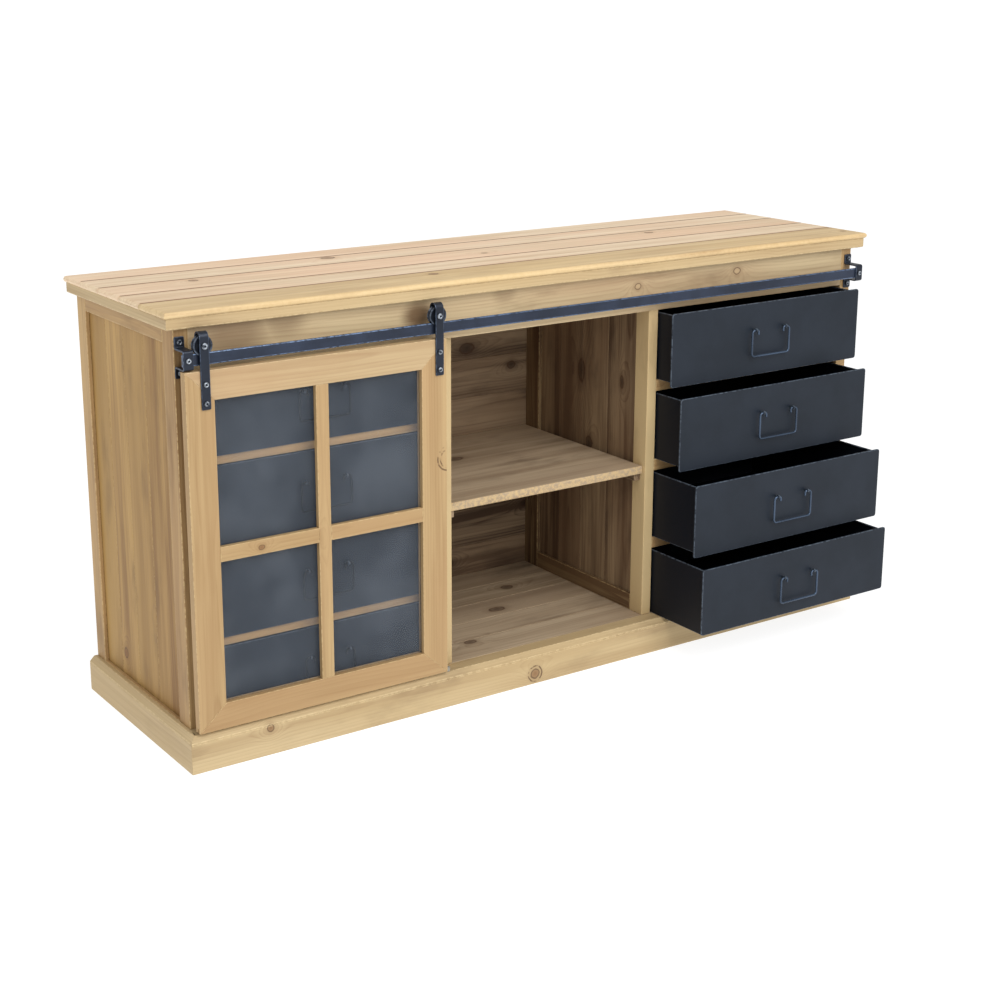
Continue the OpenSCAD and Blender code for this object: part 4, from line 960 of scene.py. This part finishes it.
# Copy of a CAD node's mesh with its triangles merged to faces and its long edges eased; the eased
# faces carry edge 1 at their corners
def easedCopy(name, cadName, finish, along, ease):
    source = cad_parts[cadName].data
    form = bmesh.new()
    form.from_mesh(source)
    bmesh.ops.remove_doubles(form, verts=form.verts, dist=0.002 * mm)
    bmesh.ops.dissolve_limit(form, angle_limit=0.02, verts=form.verts, edges=form.edges)
    layer = form.faces.layers.int.new("eased")
    sharp = [e for e in form.edges if len(e.link_faces) == 2 and e.calc_face_angle(0) > 0.5
             and e.calc_length() > door["shortest"]]
    eased = bmesh.ops.bevel(form, geom=sharp, offset=ease, offset_type="OFFSET", segments=2, profile=0.5,
                            affect="EDGES", clamp_overlap=False)["faces"]
    for face in eased:
        face[layer] = 1
    mesh = bpy.data.meshes.new(name)
    form.to_mesh(mesh)
    form.free()
    onFace = np.zeros(len(mesh.polygons), np.int32)
    mesh.attributes["eased"].data.foreach_get("value", onFace)
    size = np.zeros(len(mesh.polygons), np.int32)
    mesh.polygons.foreach_get("loop_total", size)
    mesh.attributes.remove(mesh.attributes["eased"])
    addAttribute(mesh, "edge", onFace.repeat(size), domain="CORNER")
    co = np.zeros(len(mesh.vertices) * 3)
    mesh.vertices.foreach_get("co", co)
    co = co.reshape(-1, 3)
    wide, thin = [i for i in range(3) if i != along]
    if np.ptp(co[:, wide]) < np.ptp(co[:, thin]):
        wide, thin = thin, wide
    mid = (co.max(0) + co.min(0)) / 2
    grain = np.stack([co[:, along] + rng.uniform(-1, 1), co[:, wide] - mid[wide] + rng.uniform(-0.03, 0.03),
                      co[:, thin] - mid[thin] + rng.uniform(0.02, 0.05)], -1)
    addAttribute(mesh, "grain", grain, vector=True)
    addAttribute(mesh, "tone", np.full(len(co), rng.random()))
    placePiece(name, mesh, "door", cadName, finish)


for name, cadName, finish, along in (("doorStile.left", "door_left_stile", doorWood, 2),
                                     ("doorStile.right", "door_right_stile", doorWood, 2),
                                     ("doorRail.top", "door_top_rail", doorRailWood, 0),
                                     ("doorRail.bottom", "door_bottom_rail", doorWood, 0)):
    easedCopy(name, cadName, finish, along, door["edge"])
parts = [plainBoard(lo, hi, radius=door["muntinRadius"]) for lo, hi in solidsOf("door_muntins")]
makePiece("doorMuntins", parts, "door", "door_muntins", doorWood)
easedCopy("doorBeads", "door_beads", doorWood, 2, door["beadEdge"])
pane = plainBoard(*boxOf("door_glass"), 2, radius=door["paneRadius"])
makePiece("doorGlass", [pane], "door", "door_glass", paneGlass)
print("door made")

hanger = {"thick": 3 * mm, "corner": 2 * mm, "backLeg": 36 * mm}
# Half a wheel's profile in mm: radius, or distance from the rim where it is 0 or less, depth below the face
# and edge weight. It goes from the bore over the hub and the dish to the flange and down into the groove
wheelProfile = [(4.06, 0.0, 0), (6.6, 0.0, 0.6), (7.0, 0.35, 0.8), (7.6, 0.6, 0), (-3.4, 0.6, 0), (-2.8, 0.1, 0.8),
                (-0.5, 0.0, 1), (0, 0.5, 1), (0, 1.5, 1), (-0.4, 1.95, 0.7), (12.9, 2.05, 0), (12.7, 2.3, 0.3)]
for side in ("left", "right"):
    lo, hi = boxOf(f"hanger_strap_{side}")
    h = hanger["thick"] / 2
    r = (hi[1] - lo[1]) / 2 - h
    yMid, bendZ = (lo[1] + hi[1]) / 2, hi[2] - (hi[1] - lo[1]) / 2
    turn = np.linspace(math.pi, 0, 17)
    arc = np.stack([yMid + r * np.cos(turn), bendZ + r * np.sin(turn)], 1)
    line = np.concatenate([[[lo[1] + h, lo[2]]], arc, [[hi[1] - h, hi[2] - hanger["backLeg"]]]])
    part = strapPart(line, (lo[0] + hi[0]) / 2, hi[0] - lo[0], hanger["thick"], hanger["corner"])
    makePiece(f"hangerStrap.{side}", [part], "door", f"hanger_strap_{side}", trackSteel)

    lo, hi = boxOf(f"hanger_wheel_{side}")
    rim, half = (hi[0] - lo[0]) / 2, (hi[1] - lo[1]) / 2
    face = [(at * mm if at > 0 else rim + at * mm, half - down * mm, 0, rub) for at, down, rub in wheelProfile]
    ring = [(r, -y, six, rub) for r, y, six, rub in face] + face[::-1]
    part = turnedPart((lo + hi) / 2, ring, 64, closedRows=True)
    makePiece(f"hangerWheel.{side}", [part], f"wheel_{side}", f"hanger_wheel_{side}", wheelSteel)
makePiece("hangerFasteners", fasteners("hanger_fasteners"), "door", "hanger_fasteners", boltSteel)

guide = {"fin": 4 * mm, "foot": 2 * mm, "radius": 0.5 * mm}
lo, hi = boxOf("door_guide")
finBack, footTop = lo[1] + guide["fin"], lo[2] + guide["foot"]
section = [(lo[1], lo[2]), (hi[1], lo[2]), (hi[1], footTop), (finBack, footTop), (finBack, hi[2]), (lo[1], hi[2])]
part = board(section, lo[0], hi[0], 0, radius=guide["radius"])
makePiece("doorGuide", [part], "carcase", "door_guide", guidePlastic)
print("hangers and guide made")


# ---- drawers and handles ----

drawer = {"sheet": 1.5 * mm, "hem": 4 * mm, "boxRadius": 2.0 * mm, "frontRadius": 6 * mm, "eyeWall": 1.9 * mm,
          "eyeFoot": 4 * mm, "eyeGap": 0.06 * mm}


# The folded box as a stack of rounded rectangles: up the outside, over the rolled edge, down the inside.
# Each row is its inset and its height above the foot or below the rim, in mm, and its edge weight
def drawerBox(lo, hi):
    t, hem = drawer["sheet"] / mm, drawer["hem"] / mm
    up = [(1.6, 0, 0), (1.0, 0, 1), (0.3, 0.3, 1), (0, 1.0, 1), (0, 1.6, 0)]
    over = [(0, 1.8, 0), (0, 1.3, 0.9), (0.4, 0.4, 1), (1.3, 0, 1), (hem - 1.3, 0, 1), (hem - 0.4, 0.4, 1),
            (hem, 1.3, 0.9), (hem - 0.4, hem - 0.4, 0), (t + 0.5, hem, 0), (t, hem, 0), (t, hem + 0.6, 0)]
    inside = [(t, t + 2, 0), (t + 0.6, t + 0.6, 0.4), (t + 2, t, 0), (t + 2.6, t, 0)]
    rows = [(inset * mm, lo[2] + z * mm, drawer["boxRadius"], rub) for inset, z, rub in up]
    rows += [(inset * mm, hi[2] - z * mm, drawer["boxRadius"], rub) for inset, z, rub in over]
    rows += [(inset * mm, lo[2] + z * mm, drawer["boxRadius"], rub) for inset, z, rub in inside]
    # the box takes the darker `inside` colour, painted shade
    return stackedPart(lo, hi, 2, rows, tone=1.0)


# The front plate, from its face to its back with the edges eased
def drawerFront(lo, hi):
    y0, y1, r = lo[1], hi[1], drawer["frontRadius"]
    rows = [(1.5 * mm, y0, r, 0), (1.0 * mm, y0, r, 1), (0.3 * mm, y0 + 0.3 * mm, r, 1), (0, y0 + 1.0 * mm, r, 0.8),
            (0, y1 - 0.6 * mm, r, 0.3), (0.5 * mm, y1, r, 0), (1 * mm, y1, r, 0)]
    return stackedPart(lo, hi, 1, rows)


# Eye: from an inner circle out to a keyhole outline, across its thickness and back.
# The outline's radius is max(R, min(foot length / cos, half foot height / |sin|)) towards the front plate
def eyePart(lo, hi, pivotY, pivotZ, bore, sides=40, ease=0.5 * mm):
    angle = np.arange(sides) * 2 * math.pi / sides
    c, s = np.cos(angle), np.sin(angle)
    foot = np.minimum((hi[1] - pivotY) / np.maximum(c, 1e-3), drawer["eyeFoot"] / 2 / np.maximum(np.abs(s), 1e-3))
    outer = np.maximum(bore + drawer["eyeWall"], np.where(c > 0, foot, 0))
    inner = np.full(sides, bore)
    rows = [(inner, lo[0] + ease), (inner + ease, lo[0]), (outer - ease, lo[0]), (outer, lo[0] + ease)]
    rows += [(r, lo[0] + hi[0] - x) for r, x in rows[::-1]]
    points = np.stack([np.stack([np.full(sides, x), pivotY + r * c, pivotZ + r * s], -1) for r, x in rows])
    edge = np.array([0, 0.3, 0.8, 0.8, 0.8, 0.8, 0.3, 0])[:, None]
    return gridPart(points, edge, closedRows=True)


handle = {"wire": 4.5 * mm, "width": 105 * mm, "drop": 56 * mm, "bend": 7 * mm, "end": 17 * mm, "tip": 11 * mm,
          "tipBend": 4 * mm}
w, drop, tip = handle["width"] / 2, handle["drop"], handle["tip"]
end = w - handle["end"]
bail = np.array([(-end, -tip), (-end, 0), (-w, 0), (-w, -drop), (w, -drop), (w, 0), (end, 0), (end, -tip)])
bends = [handle["tipBend"]] + [handle["bend"]] * 4 + [handle["tipBend"]]
wireR = handle["wire"] / 2

for side in ("left", "right"):
    for i in range(1, 5):
        cadName, grip = f"drawer_{side}_{i}", f"handle_{side}_{i}"
        solids = sorted(solidsOf(cadName), key=lambda b: -np.prod(b[1] - b[0]))
        box, front, eyes = solids[0], solids[1], solids[2:]
        gripLo, gripHi = boxOf(grip)
        xMid, pivotY, pivotZ = (gripLo[0] + gripHi[0]) / 2, (gripLo[1] + gripHi[1]) / 2, gripHi[2] - wireR
        parts = [drawerBox(*box), drawerFront(*front)]
        parts += [eyePart(lo, hi, pivotY, pivotZ, wireR + drawer["eyeGap"]) for lo, hi in eyes]
        makePiece(f"drawer.{side}.{i}", parts, cadName, cadName, drawerSteel)
        wire = wirePart(roundPath(bail + [xMid, pivotZ], bends, bend=7), pivotY, wireR)
        # the left handles take the darker `inside` colour: painted shade behind the panes
        wire["tone"] = 1.0 if side == "left" else 0.0  # the handles behind the panes are darker
        makePiece(f"handle.{side}.{i}", [wire], grip, grip, handleSteel)
print("drawers and handles made")


# ---- floor, light and camera ----

studio = {
    "floorHalf": 14.0,
    "ambient": 0.62,
    "backdrop": 1.1,
    "floorTone": 0.3,
    "floorGlow": 0.86,
    "key": {"at": (0.2, -3.3, 3.2), "aim": (0.1, 0, 0.4), "size": 3.0, "power": 125},
    "side": {"at": (-3.6, -1.2, 2.6), "aim": (-0.4, 0, 0.4), "size": 2.4, "power": 22},
}

h = studio["floorHalf"]
floorMesh = bpy.data.meshes.new("floor")
floorMesh.from_pydata([(-h, -h, 0), (h, -h, 0), (h, h, 0), (-h, h, 0)], [], [(0, 1, 2, 3)])
floor = bpy.data.objects.new("floor", floorMesh)
bpy.context.scene.collection.objects.link(floor)
floorPaint, tree = newMaterial("floorPaint")
finishMaterial(tree, (*[studio["floorTone"]] * 3, 1), 0.9, Emission_Color=(1, 1, 1, 1),
               Emission_Strength=studio["floorGlow"], Specular_IOR_Level=0.0)
floor.data.materials.append(floorPaint)

world = bpy.data.worlds.new("studio")
bpy.context.scene.world = world
world.use_nodes = True
tree = world.node_tree
tree.nodes.clear()
seen = node(tree, "ShaderNodeLightPath", out="Is Camera Ray")
color = blendColor(tree, seen, (*[studio["ambient"]] * 3, 1), (*[studio["backdrop"]] * 3, 1))
background = node(tree, "ShaderNodeBackground", {}, {"Color": color, "Strength": 1.0})
node(tree, "ShaderNodeOutputWorld", {}, {"Surface": background})

for name in ("key", "side"):
    lampLook = studio[name]
    light = bpy.data.lights.new(name, "AREA")
    light.shape = "SQUARE"
    light.size = lampLook["size"]
    light.energy = lampLook["power"]
    lamp = bpy.data.objects.new(name, light)
    bpy.context.scene.collection.objects.link(lamp)
    aim = np.array(lampLook["aim"]) - np.array(lampLook["at"])
    lamp.location = lampLook["at"]
    lamp.rotation_euler = Vector(aim).to_track_quat("-Z", "Y").to_euler()

camera = {"at": (-2.0408, -2.9524, 1.41265), "yaw": 33.44, "pitch": -15.08, "roll": 0.14,
          "lens": 63.13, "shift": (0.0435, -0.0576)}
cam = bpy.data.cameras.new("camera")
cam.lens, cam.sensor_width = camera["lens"], 36
cam.shift_x, cam.shift_y = camera["shift"]
eye = bpy.data.objects.new("camera", cam)
bpy.context.scene.collection.objects.link(eye)
eye.location = camera["at"]
eye.rotation_euler = (math.radians(90 + camera["pitch"]), math.radians(camera["roll"]), -math.radians(camera["yaw"]))
bpy.context.scene.camera = eye
bpy.context.scene.view_settings.view_transform = "Standard"
print("studio made")

bpy.context.view_layer.update()
